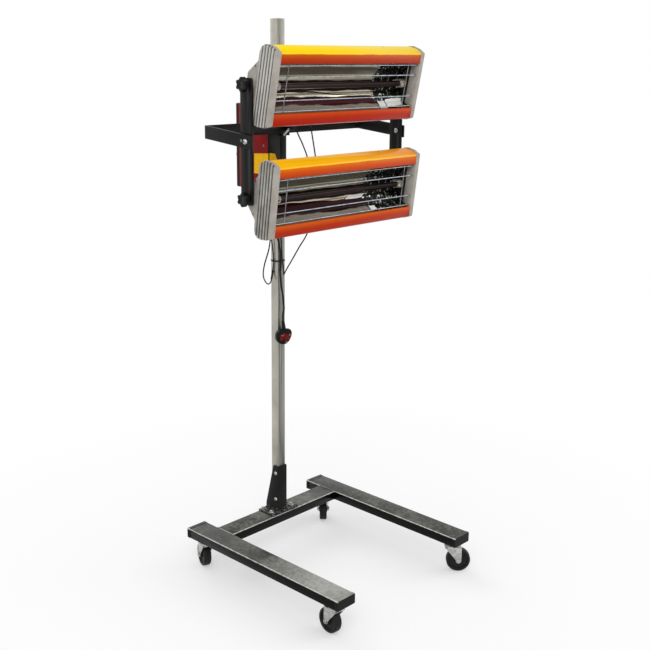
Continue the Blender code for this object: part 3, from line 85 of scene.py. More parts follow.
MAST_Y = box_middle("mast").y
PIVOTS = {level: Vector(JOINTS["tilt_" + level]["pos_m"]) for level in LEVELS}


# Colours and nodes

def linear(value):
    share = value / 255
    return share / 12.92 if share <= 0.04045 else ((share + 0.055) / 1.055) ** 2.4


def paint(red, green, blue):
    """A colour given as it looks on a screen, 0 to 255."""
    return (linear(red), linear(green), linear(blue), 1.0)


def feed(tree, socket, value):
    """Links or sets a socket; three numbers for a colour are as it looks on a screen."""
    if isinstance(value, Value):
        tree.links.new(value.socket, socket)
    elif socket.type == "RGBA" and len(value) == 3:
        socket.default_value = paint(*value)
    else:
        socket.default_value = value


def make_node(tree, kind, inputs=None, **settings):
    """Adds a node and gives its outputs by name."""
    item = tree.nodes.new("ShaderNode" + kind)
    for key, value in settings.items():
        setattr(item, key, value)
    for key, value in (inputs or {}).items():
        feed(tree, item.inputs[key], value)
    return {socket.identifier: Value(tree, socket) for socket in item.outputs}


def operation(name):
    """A method that makes a Math node of a value and perhaps a second one."""
    def method(first, second=0.0):
        return make_node(first.tree, "Math", {0: first, 1: second}, operation=name)["Value"]
    return method


# The stretch of a noise's values in which most of it lies
NOISE_LOW, NOISE_HIGH = 0.3, 0.7


class Value:
    """A node's output, and what the finishes make of it."""

    __add__, __sub__, __mul__ = operation("ADD"), operation("SUBTRACT"), operation("MULTIPLY")
    __gt__, __lt__, __abs__ = operation("GREATER_THAN"), operation("LESS_THAN"), operation("ABSOLUTE")
    higher = operation("MAXIMUM")

    def __init__(self, tree, socket):
        self.tree = tree
        self.socket = socket

    def between(self, low, high):
        """1 where the value lies between the two limits, and 0 elsewhere."""
        return (self > low) * (self < high)

    def span(self, low, high, to_low=0.0, to_high=1.0):
        return make_node(self.tree, "MapRange", {"Value": self, "From Min": low, "From Max": high,
                                                 "To Min": to_low, "To Max": to_high})["Result"]

    def swing(self, to_low, to_high):
        return self.span(NOISE_LOW, NOISE_HIGH, to_low, to_high)

    def ramp(self, stops):
        item = self.tree.nodes.new("ShaderNodeValToRGB")
        self.tree.links.new(self.socket, item.inputs["Fac"])
        elements = item.color_ramp.elements
        elements.remove(elements[1])
        for index, (position, colour) in enumerate(stops):
            element = elements.new(position) if index else elements[0]
            element.position = position
            element.color = paint(*colour) if len(colour) == 3 else colour
        return Value(self.tree, item.outputs["Color"])

    def fade(self, dark, light):
        return self.ramp(((NOISE_LOW, dark), (NOISE_HIGH, light)))

    def mix(self, first, second):
        """The first colour where the value is 0 and the second where it is 1."""
        inputs = {0: self, 6: first, 7: second}
        return make_node(self.tree, "Mix", inputs, data_type="RGBA")["Result_Color"]


class Finish:
    """A Principled material in the piece's own place, or in a cassette's when its level is given."""

    def __init__(self, name, colour, roughness, metallic=0.0, level=None):
        self.material = bpy.data.materials.new(name)
        self.material.use_nodes = True
        self.tree = self.material.node_tree
        self.shader = self.tree.nodes["Principled BSDF"]
        self.set({"Base Color": colour, "Roughness": roughness, "Metallic": metallic})
        self.material.diffuse_color = paint(*colour)
        self.place = make_node(self.tree, "TexCoord")["Object"]
        if level:
            turn = (radians(CASSETTE_TILTS[level]), 0.0, 0.0)
            inputs = {"Vector": self.place, "Location": PIVOTS[level], "Rotation": turn}
            self.place = make_node(self.tree, "Mapping", inputs, vector_type="TEXTURE")["Vector"]

    def set(self, inputs):
        for key, value in inputs.items():
            if value is not None:
                feed(self.tree, self.shader.inputs[key], value)

    def noise(self, scale, detail=3.0, roughness=0.55):
        """Noise at one scale, or stretched by three of them."""
        vector = self.place
        if isinstance(scale, tuple):
            vector, scale = make_node(self.tree, "Mapping", {"Vector": vector, "Scale": scale})["Vector"], 1.0
        return make_node(self.tree, "TexNoise", {"Vector": vector, "Scale": scale, "Detail": detail,
                                                 "Roughness": roughness})["Fac"]

    def distance(self, point=(0.0, 0.0, 0.0)):
        inputs = {0: self.place, 1: point}
        return make_node(self.tree, "VectorMath", inputs, operation="DISTANCE")["Value"]

    def parts(self, vector=None):
        return make_node(self.tree, "SeparateXYZ", {"Vector": vector or self.place}).values()

    def facing(self):
        """The surface's own direction, in the frame's axes."""
        return self.parts(make_node(self.tree, "TexCoord")["Normal"])

    def done(self, colour, rough, relief, specular=None, metallic=None):
        """The material, with its shader fed; relief is a bump's height, strength and distance."""
        bump = make_node(self.tree, "Bump", dict(zip(("Height", "Strength", "Distance"), relief)))
        self.set({"Base Color": colour, "Roughness": rough, "Normal": bump["Normal"],
                  "Specular IOR Level": specular, "Metallic": metallic})
        return self.material


# Finishes

# Name, dark and light shade, roughness, scales of the cloud and the grain; then specular, but not for metal
CLOUDED = {
    "frame": ("frame_black_paint", (8, 8, 8), (22, 22, 21), 0.4, 9.0, 260.0, 0.16),
    "box": ("box_red_enamel", (122, 14, 16), (150, 22, 24), 0.42, 25.0, 420.0, 0.14),
    "panel": ("plain_yellow_panel", (240, 176, 6), (255, 200, 4), 0.45, 30.0, 300.0, 0.14),
    "plastic": ("moulded_black_plastic", (8, 8, 9), (20, 20, 21), 0.4, 60.0, 1500.0, 0.2),
    "rubber": ("wheel_black_rubber", (10, 10, 10), (30, 30, 29), 0.5, 90.0, 300.0, 0.2),
    "jacket": ("cord_jacket", (12, 12, 13), (26, 26, 27), 0.5, 80.0, 500.0, 0.2),
    "marks": ("pale_marking_paint", (196, 196, 190), (226, 226, 220), 0.5, 200.0, 800.0, 0.2),
    "screws": ("dull_screw_zinc", (92, 92, 90), (148, 148, 145), 0.36, 120.0, 1200.0),
    "zinc": ("zinc_plate", (140, 141, 140), (204, 204, 200), 0.3, 70.0, 1200.0),
    "sheet": ("back_sheet_steel", (136, 137, 136), (170, 171, 169), 0.36, 12.0, (4.0, 700.0, 700.0)),
}


def clouded(name, dark, light, roughness, cloud_scale, grain_scale, specular=None):
    """Paint or plastic, or plated metal when it has no specular: a little cloudy, with a fine grain."""
    metal = specular is None
    finish = Finish(name, light, roughness, float(metal))
    cloud, grain = finish.noise(cloud_scale, 4.0), finish.noise(grain_scale)
    below, above, relief = (0.05, 0.1, 0.0001) if metal else (0.06, 0.08, 0.0002)
    rough = (grain if metal else cloud).swing(roughness - below, roughness + above)
    return finish.done(cloud.fade(dark, light), rough, (grain, 0.2, relief), specular)


# Width of the painted highlight lines along the base's upper edges
EDGE_HIGHLIGHT_WIDTH = 0.0024
# Middle of a painted pool of sheen on the left leg's top
SHEEN_PLACE = (-0.255, -0.235, 0.128)


def base_paint():
    """Near-black gloss on steel tube, scuffed on top; its tops are painted lighter than its sides as painted
    sheen, with a painted pool of sheen near the front left and painted highlight lines along its upper edges.
    """
    finish = Finish("base_charcoal_paint", (40, 42, 41), 0.3)
    x, y, z = finish.parts()
    patches, scuffs = finish.noise(7.0, 5.0, 0.6), finish.noise(90.0, 5.0, 0.65)
    mottle = patches * 0.55 + scuffs * 0.45
    # Painted light: the upward faces get a far lighter ramp than the sides, a painted sheen of the light from
    # above
    side = mottle.ramp(((0.38, (3, 4, 3)), (0.62, (13, 14, 13))))
    top = mottle.ramp(((0.38, (40, 40, 38)), (0.5, (74, 74, 70)), (0.62, (116, 116, 111))))
    # Painted highlight: a bright pool of sheen near the front of the left leg, fading out over about 0.24 m
    sheen = finish.distance(SHEEN_PLACE).span(0.03, 0.24, 0.95, 0.0) * scuffs.span(0.3, 0.6, 0.6, 1.0)
    _, _, upward = finish.facing()
    across, along = abs(abs(x) - LEG_X), abs(y - MAST_Y)
    # Painted highlights: thin light lines along the upper edges of the legs and the cross member
    leg_edge_highlight = across.between(TUBE_HALF - EDGE_HIGHLIGHT_WIDTH, TUBE_HALF + EDGE_HIGHLIGHT_WIDTH / 4)
    cross_edge_highlight = along.between(TUBE_HALF - EDGE_HIGHLIGHT_WIDTH, TUBE_HALF + EDGE_HIGHLIGHT_WIDTH) * (across > TUBE_HALF + EDGE_HIGHLIGHT_WIDTH / 4)
    edge = leg_edge_highlight.higher(cross_edge_highlight) * (z > BASE_TOP - EDGE_HIGHLIGHT_WIDTH) * scuffs.span(0.35, 0.6, 0.4, 1.0)
    colour = (upward > 0.5).mix(side, sheen.mix(top, (176, 176, 170)))
    return finish.done(edge.mix(colour, (208, 208, 202)), mottle.span(0.4, 0.62, 0.28, 0.5),
                       (scuffs, 0.25, 0.0003), 0.12)


CHIPS_TOP = 0.1345
CHIPS_FADE = 0.004


def foot_paint():
    """Black paint that is chipped to bare metal low down, round the bolts."""
    finish = Finish("foot_chipped_paint", (14, 14, 14), 0.38)
    cloud, chips = finish.noise(12.0, 4.0), finish.noise(260.0, 5.0, 0.7)
    _, _, z = finish.parts()
    bare = chips.span(0.56, 0.62) * z.span(CHIPS_TOP, CHIPS_TOP + CHIPS_FADE, 1.0, 0.0)
    colour = bare.mix(cloud.fade((6, 6, 6), (20, 20, 19)), (196, 194, 188))
    return finish.done(colour, cloud.swing(0.34, 0.46), (chips, 0.2, 0.0003), 0.16, bare)


POST_X = 0.2377
POST_REACH = 0.002


def guard_wire():
    """Bright drawn wire, with painted shade on the posts that stand behind the long wires."""
    finish = Finish("guard_bright_wire", (150, 155, 162), 0.28, 1.0)
    x, _, _ = finish.parts()
    cloud, drawn = finish.noise(60.0, 4.0), finish.noise(400.0)
    bright = cloud.fade((126, 132, 140), (180, 186, 194))
    shaded_colour = cloud.fade((108, 108, 112), (152, 152, 156))
    # Painted shade: the posts get a darker copy of the wire's colour
    posts = abs(x).between(POST_X - POST_REACH, POST_X + POST_REACH)
    return finish.done(posts.mix(bright, shaded_colour), drawn.swing(0.22, 0.36), (drawn, 0.2, 0.0001))


def mast_plate():
    """Bright plated tube drawn lengthways, with painted light: its faces across the stand are painted darker
    than those along it, as painted shade of the room they mirror.
    """
    finish = Finish("mast_bright_plate", (196, 194, 188), 0.3, 0.75)
    lines, marks = finish.noise((240.0, 240.0, 2.5), 4.0, 0.6), finish.noise(14.0, 4.0)
    # Painted light: a lighter colour for the faces along the stand, a darker streaky one for the faces across
    # it
    bright = marks.fade((158, 156, 146), (184, 182, 171))
    shaded_colour = lines.ramp(((0.36, (96, 95, 90)), (0.5, (136, 134, 126)), (0.64, (170, 168, 160))))
    _, across, _ = finish.facing()
    rough = lines.swing(0.26, 0.42) + marks.span(0.4, 0.8, 0.0, 0.1)
    return finish.done((abs(across) > 0.7).mix(bright, shaded_colour), rough, (lines, 0.2, 0.0001))


# Painted light and shade on the rails' enamel, from the bottom of a cassette (0) to its top (1): shaded
# red-orange low down, yellow on the lit top, and a pale painted highlight on the crease
RAIL_LIGHT_STOPS = {
    "upper": ((0.0, (150, 20, 4)), (0.12, (178, 36, 6)), (0.185, (196, 70, 14)), (0.808, (158, 36, 2)),
              (0.87, (184, 58, 2)), (0.922, (204, 92, 0)), (0.934, (255, 218, 60)), (0.946, (255, 210, 0)),
              (1.0, (255, 222, 0))),
    "lower": ((0.0, (158, 30, 4)), (0.12, (180, 48, 8)), (0.185, (206, 88, 20)), (0.808, (184, 54, 0)),
              (0.87, (208, 80, 0)), (0.922, (226, 110, 0)), (0.934, (255, 210, 70)), (0.946, (250, 178, 0)),
              (1.0, (252, 190, 0))),
}
TOP_SLOPE_RISE = 0.0935


def rail_paint(level):
    """Enamel painted with light and shade: shaded red at the bottom rail, lit yellow on top, with a painted
    highlight along the crease.
    """
    finish = Finish("rail_lit_enamel_" + level, (215, 75, 30), 0.3, level=level)
    x, _, z = finish.parts()
    wander, peel = finish.noise(18.0), finish.noise(320.0, 2.0)
    rise = z.span(CASSETTE_RISE - CASSETTE_HALF_HEIGHT, CASSETTE_RISE + CASSETTE_HALF_HEIGHT)
    # Painted light: the colour follows height, lit yellow above and shaded red below, with a pale painted
    # highlight at the crease
    colour = (rise + wander.swing(-0.003, 0.003)).ramp(RAIL_LIGHT_STOPS[level])
    # Painted shade: on the lower cassette the lit yellow top turns orange towards its right end
    if level == "lower":
        shaded_top_end = (z > CASSETTE_RISE + TOP_SLOPE_RISE) * x.span(-0.05, 0.26, 0.0, 0.7)
        colour = shaded_top_end.mix(colour, (246, 132, 6))
    return finish.done(colour, wander.swing(0.26, 0.36), (peel, 0.12, 0.0002), 0.09)


CAP_INNER_X = 0.2765
CAP_OUTER_X = 0.2935
CAP_GROOVE_FLOOR = 0.2885
GROOVE_EDGE = 0.001
FLUTES_FROM = -0.0785
FLUTES_TO = -0.0265
CLEAN_STRIP = -0.056
# Dark and light colour of the flutes' ridges on each cassette; the lower's are painted darker as painted
# shade
RIDGE_SHADES = {"upper": ((172, 169, 162), (200, 198, 192)), "lower": ((128, 125, 117), (182, 180, 173))}


def cast_paint(level):
    """Warm grey silver on a casting, with painted shade dark in the floors of its flutes and dark blotched
    painted shade on its inner faces deep inside the lamp.
    """
    finish = Finish("cap_cast_paint_" + level, (176, 172, 165), 0.5, level=level)
    x, y, _ = finish.parts()
    side, (_, _, upward) = abs(x), finish.facing()
    sand, cloud = finish.noise(700.0, 4.0, 0.6), finish.noise(30.0, 4.0)
    blotch = finish.noise(110.0, 5.0, 0.7)
    plain = cloud.fade((150, 145, 136), (178, 173, 165))
    # Painted shade: the flutes' floors are painted dark, their ridges lighter
    depth = side.span(CAP_GROOVE_FLOOR, CAP_OUTER_X - GROOVE_EDGE)
    flutes_with_shade = depth.mix((56, 53, 50), cloud.fade(*RIDGE_SHADES[level]))
    in_flutes = (y.between(FLUTES_FROM, FLUTES_TO) * (abs(upward) < 0.4)
                 * (side > CAP_GROOVE_FLOOR - GROOVE_EDGE))
    # Painted shade: dark blotches on the inner faces deep inside the lamp, where little light reaches
    inner_shade = blotch.ramp(((0.4, (16, 15, 15)), (0.54, (54, 51, 48)), (0.64, (140, 136, 128))))
    deep = (side < CAP_INNER_X + SEAT_GAP) * (y > CLEAN_STRIP)
    colour = deep.mix(in_flutes.mix(plain, flutes_with_shade), inner_shade)
    return finish.done(colour, sand.swing(0.42, 0.62), (sand, 0.45, 0.0004), 0.3)


# Painted reflections: bands on the polished trough where it mirrors the room and the tube, from its bottom
# edge (0) to its top edge (1)
PAINTED_REFLECTION_BANDS = (
    (0.0, (150, 142, 130)), (0.08, (176, 168, 154)), (0.094, (70, 6, 18)), (0.205, (44, 5, 12)),
    (0.232, (16, 8, 9)), (0.25, (236, 228, 206)), (0.33, (204, 195, 172)), (0.352, (24, 7, 10)),
    (0.54, (34, 9, 13)), (0.56, (56, 48, 40)), (0.58, (206, 198, 176)), (0.63, (158, 151, 134)),
    (0.645, (62, 57, 50)), (0.66, (146, 140, 123)), (0.84, (134, 129, 113)), (0.862, (48, 44, 38)),
    (0.885, (248, 240, 222)), (0.93, (166, 161, 146)), (1.0, (60, 57, 52)),
)
# Painted reflection of the dark, mottled casting at the trough's right end
CAP_MIRROR_STOPS = ((0.44, (12, 15, 13)), (0.54, (38, 41, 37)), (0.58, (80, 80, 72)), (0.63, (226, 222, 210)))
HALF_OPENING = 0.064
EDGE_BAND = (-0.048, -0.055)
DARK_SHADE = 100
POLISHED = 0.7
SEAM_WIDTH = 0.0016
# How dark the tube's painted mirror image is, where the seam lies, and where the painted reflection of the
# dark casting at the right end begins
REFLECTOR_PLACES = {"upper": (1.0, 0.146, 0.152), "lower": (0.55, 0.092, 0.116)}
# Painted highlights, white patches of mirrored light: x from and to, height from and to above the trough's
# middle, slant
PAINTED_GLARE_PATCHES = {
    "upper": ((0.158, 0.187, -0.062, -0.048, 0.9), (0.193, 0.266, -0.06, -0.0455, 0.9)),
    "lower": ((0.122, 0.146, -0.0585, -0.052, 0.4), (0.052, 0.116, -0.031, -0.0215, 2.6)),
}
# A painted dark reflection curving across the lower bright band: its upper edge, then its width, each by x
# from left to right
SHADE_CURVE = {
    "upper": ((-0.12, 0.05, -0.0195, -0.03), (-0.12, 0.05, 0.0042, 0.0016)),
    "lower": ((-0.26, 0.1, -0.0205, -0.03), (-0.26, 0.1, 0.024, 0.01)),
}


def reflector_sheet(level):
    """Polished trough with painted reflections: long soft bands, a dark curve, white glare patches and a
    mottled dark end that mirrors the casting; and a seam.
    """
    finish = Finish("reflector_mirror_" + level, (168, 164, 156), 0.2, 0.7, level)
    x, _, z = finish.parts()
    waves, streak = finish.noise((9.0, 4.0, 4.0), 3.0, 0.5), finish.noise((12.0, 300.0, 300.0), 4.0, 0.6)
    cap_mirror, dimples = finish.noise(95.0, 6.0, 0.72), finish.noise(220.0, 2.0)
    height = z - CASSETTE_RISE + waves.swing(-0.0035, 0.0035)
    up = height.span(-HALF_OPENING, HALF_OPENING)
    shades, polish = [], []
    tube_shade, seam, cap_mirror_from = REFLECTOR_PLACES[level]
    # Painted reflection: the dark bands are the tube's mirror image, darkened further on the lower cassette
    for stop, shade in PAINTED_REFLECTION_BANDS:
        dark = max(shade) < DARK_SHADE
        shades.append((stop, [part * tube_shade for part in shade] if dark else shade))
        polish.append((stop, (*[0.0 if dark else POLISHED] * 3, 1.0)))
    metal = up.ramp(polish) * height.span(*EDGE_BAND, 1.0, 0.3)
    speckle = streak.span(0.45, 0.62) * height.span(*EDGE_BAND, 0.12, 0.45)
    bands = speckle.mix(up.ramp(shades), (84, 80, 70))
    edge, width = (x.span(*reach) for reach in SHADE_CURVE[level])
    # Painted reflection: a dark maroon curve across the lower bright band
    bands = height.between(edge - width, edge).mix(bands, (38, 10, 14))
    # Painted reflection: past this x the trough is painted with the mottled dark casting that it mirrors
    colour = (x + cap_mirror.swing(-0.01, 0.01) > cap_mirror_from).mix(bands, cap_mirror.ramp(CAP_MIRROR_STOPS))
    colour = x.between(seam, seam + SEAM_WIDTH).mix(colour, (34, 30, 28))
    # Painted highlights: white patches, not metallic, where the trough mirrors bright light
    for x_from, x_to, z_from, z_to, slant in PAINTED_GLARE_PATCHES[level]:
        middle = (z_from + z_to) / 2 * slant
        glare = (x - height * slant).between(x_from - middle, x_to - middle) * height.between(z_from, z_to)
        colour = glare.mix(colour, (255, 255, 252))
        metal = metal * (glare < 0.5)
    return finish.done(colour, dimples.swing(0.16, 0.26), (waves, 0.3, 0.003), 0.03, metal)


CERAMIC_FROM = 0.2392


def lamp_glass():
    """Dark ruby quartz between ceramic bases that the heat has browned."""
    finish = Finish("lamp_ruby_quartz", (46, 14, 19), 0.1)
    x, _, _ = finish.parts()
    bases = abs(x) > CERAMIC_FROM
    chalk, glow = finish.noise(140.0, 5.0, 0.65), finish.noise((9.0, 30.0, 30.0), 3.0, 0.5)
    ruby = glow.fade((18, 3, 5), (36, 8, 12))
    ceramic = chalk.ramp(((0.34, (60, 54, 48)), (0.48, (150, 143, 130)), (0.66, (214, 208, 196))))
    return finish.done(bases.mix(ruby, ceramic), bases.span(0.0, 1.0, 0.14, 0.7), (chalk, 0.1, 0.0001), 0.1)


PLUG_TOP = Vector((-0.0065, 0.1865, 0.734))
PLUG_TURN = radians(22)
PLUG_HALF_DEPTH = 0.011
PLUG_RIM = 0.0004
# The red face on the plug: left, right, bottom and top from the plug's top
PIN_FACE = (-0.0195, 0.013, -0.0345, -0.0125)


def plug_moulding():
    """Black plug with a dark red pin face and dull brass pins."""
    finish = Finish("plug_moulding", (24, 24, 25), 0.4)
    x, y, z = finish.parts()
    out = ((x - PLUG_TOP.x) * sin(PLUG_TURN) + (y - PLUG_TOP.y) * cos(PLUG_TURN)) * -1.0
    cloud, grain = finish.noise(160.0, 4.0), finish.noise(900.0, 2.0)
    black = cloud.fade((6, 7, 6), (18, 19, 18))
    red = cloud.fade((72, 7, 12), (128, 22, 30))
    brass = cloud.fade((96, 88, 70), (150, 142, 120))
    left, right, low, high = PIN_FACE
    face = (z.between(PLUG_TOP.z + low, PLUG_TOP.z + high) * x.between(PLUG_TOP.x + left, PLUG_TOP.x + right)
            * (out > PLUG_HALF_DEPTH - PLUG_RIM))
    pins = out > PLUG_HALF_DEPTH + PLUG_RIM
    return finish.done(pins.mix(face.mix(black, red), brass), grain.swing(0.3, 0.46), (grain, 0.2, 0.0002),
                       0.12, pins)


def make_finishes():
    made = {key: clouded(*row) for key, row in CLOUDED.items()}
    made.update(base=base_paint(), foot=foot_paint(), wire=guard_wire(), mast=mast_plate(), lamp=lamp_glass(),
                plug=plug_moulding())
    for level in LEVELS:
        made["rail_" + level] = rail_paint(level)
        made["cast_" + level] = cast_paint(level)
        made["mirror_" + level] = reflector_sheet(level)
    return made


FINISHES = make_finishes()


# Shapes

WELD_REACH = 0.00001
SPAN_STEPS = 24


def finish_node(name, finish, width=0.0, angle=30.0):
    """Gives a CAD piece its finish, and rounds its edges a little in the render only."""
    item = NODES[name]
    item.data.materials.clear()
    item.data.materials.append(FINISHES[finish])
    if width:
        item.modifiers.new("Weld", "WELD").merge_threshold = WELD_REACH
        bevel = item.modifiers.new("Bevel", "BEVEL")
        bevel.width = width
        bevel.segments = 2
        bevel.limit_method = "ANGLE"
        bevel.angle_limit = radians(angle)
        bevel.harden_normals = True
        item.data.polygons.foreach_set("use_smooth", [True] * len(item.data.polygons))


def curve_points(a, b, c, d, steps):
    """Points on a Catmull-Rom curve from b up to c."""
    return [0.5 * (2 * b + (c - a) * t + (2 * a - 5 * b + 4 * c - d) * t**2 + (3 * b - 3 * c + d - a) * t**3)
            for t in (k / steps for k in range(steps))]


def smooth_path(points, step):
    """Points on a smooth curve through the given points, about a step apart, and its length."""
    ends = [points[0] * 2 - points[1], *points, points[-1] * 2 - points[-2]]
    fine = []
    for i in range(len(ends) - 3):
        fine += curve_points(*ends[i:i + 4], SPAN_STEPS)
    fine.append(points[-1])
    lengths = [0.0]
    for before, after in zip(fine, fine[1:]):
        lengths.append(lengths[-1] + (after - before).length)
    count = max(2, round(lengths[-1] / step) + 1)
    path = []
    now = 0
    for k in range(count):
        target = lengths[-1] * k / (count - 1)
        while now < len(fine) - 2 and lengths[now + 1] < target:
            now += 1
        span = lengths[now + 1] - lengths[now]
        share = (target - lengths[now]) / span if span else 0.0
        path.append(fine[now].lerp(fine[now + 1], min(share, 1.0)))
    return path, lengths[-1]


def circle(sides):
    """Cosine and sine at even steps round a circle."""
    return [(cos(tau * k / sides), sin(tau * k / sides)) for k in range(sides)]


def loft(bm, rings, closed=False):
    """A skin over rings of points: closed with caps, or back on itself."""
    rows = [[bm.verts.new(point) for point in ring] for ring in rings]
    pairs = list(zip(rows, rows[1:])) + ([(rows[-1], rows[0])] if closed else [])
    for lower, upper in pairs:
        for k in range(len(lower)):
            j = (k + 1) % len(lower)
            bm.faces.new((lower[k], lower[j], upper[j], upper[k]))
    if not closed:
        bm.faces.new(list(reversed(rows[0])))
        bm.faces.new(rows[-1])


def tube(bm, path, radii, sides):
    """Rings along a path, turned as little as they can be from one to the next."""
    normal = None
    rings = []
    for i, point in enumerate(path):
        way = (path[min(i + 1, len(path) - 1)] - path[max(i - 1, 0)]).normalized()
        if normal is None:
            normal = way.orthogonal().normalized()
        normal = (normal - way * normal.dot(way)).normalized()
        side = way.cross(normal)
        radius = radii[i] if isinstance(radii, list) else radii
        rings.append([point + normal * radius * a + side * radius * b for a, b in circle(sides)])
    loft(bm, rings)


def linked(name, data):
    item = bpy.data.objects.new(name, data)
    bpy.context.scene.collection.objects.link(item)
    return item


def piece(name, bm, material, sharp=35.0):
    """A new object from a bmesh, with its origin at the frame's."""
    mesh = bpy.data.meshes.new(name)
    bmesh.ops.recalc_face_normals(bm, faces=bm.faces)
    bm.to_mesh(mesh)
    bm.free()
    mesh.materials.append(material)
    mesh.shade_smooth()
    mesh.set_sharp_from_angle(angle=radians(sharp))
    return linked(name, mesh)


def fitting(name, body, finish, bm, replaced=(), sharp=35.0):
    item = piece(name, bm, FINISHES[finish], sharp)
    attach(item, body)
    if replaced:
        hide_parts(*replaced)
    return item


# Cords, drawn thinner than the CAD's on the same middle lines

MAINS_DIAMETER = 0.006
LEAD_DIAMETER = 0.0038
TUBE_STEP = 0.004
TUBE_SIDES = 14
STRAIGHT_SHARE = 1.5

# Offsets from the mast's axis and the head's height
MAINS_ROUTE = (
    (-0.0515, -0.0085, -0.24), (-0.044, -0.016, -0.272), (-0.031, -0.0205, -0.303),
    (-0.018, -0.0212, -0.334), (-0.01, -0.0205, -0.367), (-0.0085, -0.02, -0.397),
    (-0.01, -0.0205, -0.432), (-0.0085, -0.0225, -0.467), (-0.0035, -0.0255, -0.507),
    (-0.002, -0.0278, -0.542),
)
UPPER_LEAD_ROUTE = (
    (-0.099, -0.156, 0.116), (-0.095, -0.153, 0.083), (-0.088, -0.156, 0.043),
    (-0.08, -0.158, 0.003), (-0.048, -0.152, -0.041), (-0.016, -0.14, -0.084),
    (-0.002, -0.134, -0.137), (0.002, -0.132, -0.197), (0.001, -0.131, -0.257),
    (-0.006, -0.129, -0.299), (-0.026, -0.117, -0.338), (-0.031, -0.095, -0.375),
    (-0.025, -0.064, -0.411), (-0.012, -0.038, -0.434), (0.0, -0.025, -0.431),
    (0.003, -0.0195, -0.412), (0.0, -0.0187, -0.392), (-0.002, -0.019, -0.367),
    (-0.008, -0.0215, -0.327), (-0.02, -0.022, -0.287), (-0.0285, -0.014, -0.247),
)
SECOND_LEAD_ROUTE = (
    (-0.03, -0.157, 0.117), (-0.029, -0.155, 0.083), (-0.026, -0.157, 0.043),
    (-0.021, -0.159, -0.002), (-0.012, -0.159, -0.042), (-0.002, -0.157, -0.082),
    (0.002, -0.152, -0.12), (-0.002, -0.143, -0.158), (-0.013, -0.129, -0.193),
    (-0.03, -0.106, -0.221), (-0.048, -0.078, -0.239), (-0.062, -0.049, -0.247),
    (-0.069, -0.019, -0.248), (-0.067, 0.007, -0.242), (-0.059, 0.023, -0.228),
)
LOWER_LEAD_ROUTE = (
    (-0.1895, -0.172, -0.247), (-0.189, -0.169, -0.277), (-0.192, -0.165, -0.316),
    (-0.195, -0.15, -0.362), (-0.172, -0.12, -0.399), (-0.127, -0.08, -0.431),
    (-0.08, -0.042, -0.452), (-0.042, -0.012, -0.457), (-0.024, 0.002, -0.447),
    (-0.0188, 0.003, -0.427), (-0.0185, -0.001, -0.397), (-0.02, 0.004, -0.347),
    (-0.024, 0.015, -0.287), (-0.029, 0.026, -0.242),
)
MAINS_START = (-0.0539, -0.004, -0.2046)
PLUG_HANG = (-0.0065, -0.0285, -0.5807)
LEAD_STARTS = {"upper": (-0.1, -0.1763, 0.1344), "second": (-0.03, -0.1763, 0.1344),
               "lower": (-0.19, -0.1916, -0.2072)}
LEAD_WAYS = {"upper": (0.0, 0.981, 0.1942), "lower": (0.0, 0.8149, -0.5796)}
# Name, CAD node, which start, route, end and the cassette whose way out it takes
LEADS = (
    ("upper_lamp_lead", "lead_upper", "upper", UPPER_LEAD_ROUTE, (-0.0309, -0.004, -0.1936), "upper"),
    ("upper_second_lead", "lead_second", "second", SECOND_LEAD_ROUTE, (-0.0539, 0.03, -0.1936), "upper"),
    ("lower_lamp_lead", "lead_lower", "lower", LOWER_LEAD_ROUTE, (-0.0309, 0.03, -0.1936), "lower"),
)
# The sleeve on the lower lead, where it comes up against the mast
SLEEVE_LOW, SLEEVE_HIGH = 0.8855, 0.913
SLEEVE_LEFT = -0.033
SLEEVE_RADIUS = 0.003


def from_mast(point):
    return Vector((point[0], MAST_Y + point[1], HEAD_HEIGHT + point[2]))


def cord_line(start, way_out, route, way_in, end, diameter):
    straight = STRAIGHT_SHARE * diameter
    start, end = from_mast(start), from_mast(end)
    leaving = [start, start + way_out * straight, start + way_out * straight * 2]
    arriving = [end - way_in * straight * 2, end - way_in * straight, end]
    return smooth_path([*leaving, *[from_mast(point) for point in route], *arriving], TUBE_STEP)


def make_cord(name, node, line, diameter, level=None):
    path, length = line
    bm = bmesh.new()
    tube(bm, path, diameter / 2, TUBE_SIDES)
    item = piece(name, bm, FINISHES["jacket"])
    if level:
        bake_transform(item)
    else:
        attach(item, "head")
    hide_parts(node)


def lead_sleeve(path):
    covered = [point for point in path if SLEEVE_LOW < point.z < SLEEVE_HIGH and point.x > SLEEVE_LEFT]
    bm = bmesh.new()
    tube(bm, covered, SLEEVE_RADIUS, TUBE_SIDES)
    return fitting("lead_sleeve", "head", "jacket", bm)


def make_cords(plug):
    mains = cord_line(MAINS_START, -UP, MAINS_ROUTE, -UP, PLUG_HANG, MAINS_DIAMETER)
    make_cord("mains_lead", "mains_cord", mains, MAINS_DIAMETER)
    for name, node, start, route, end, level in LEADS:
        line = cord_line(LEAD_STARTS[start], Vector(LEAD_WAYS[level]), route, UP, end, LEAD_DIAMETER)
        sleeve = [lead_sleeve(line[0])] if level == "lower" else []
        make_cord(name, node, line, LEAD_DIAMETER, level)


# Finishes on the CAD pieces that nothing below replaces, and how far their edges are rounded
DRESSED = (
    ("foot", 0.0008, ["mast_foot"]),
    ("frame", 0.0008, ["sleeve", "yoke", "upright_left", "upright_right", "clamp_screw"]),
    ("base", 0.0012, ["leg_left", "leg_right", "cross_member"]),
    ("mast", 0.0004, ["mast"]),
    ("zinc", 0.0004, ["clamp_tee_bar", *["caster_fork_" + corner for corner in CORNERS]]),
    ("zinc", 0.0003, ["caster_plate_" + corner for corner in CORNERS]),
    ("plastic", 0.0004, ["mast_plug", "box_back_panel", "box_gland_strip", "rocker_upper", "rocker_lower"]),
    ("box", 0.0008, ["box_shell"]),
    ("frame", 0.0006, ["box_front_plate"]),
)


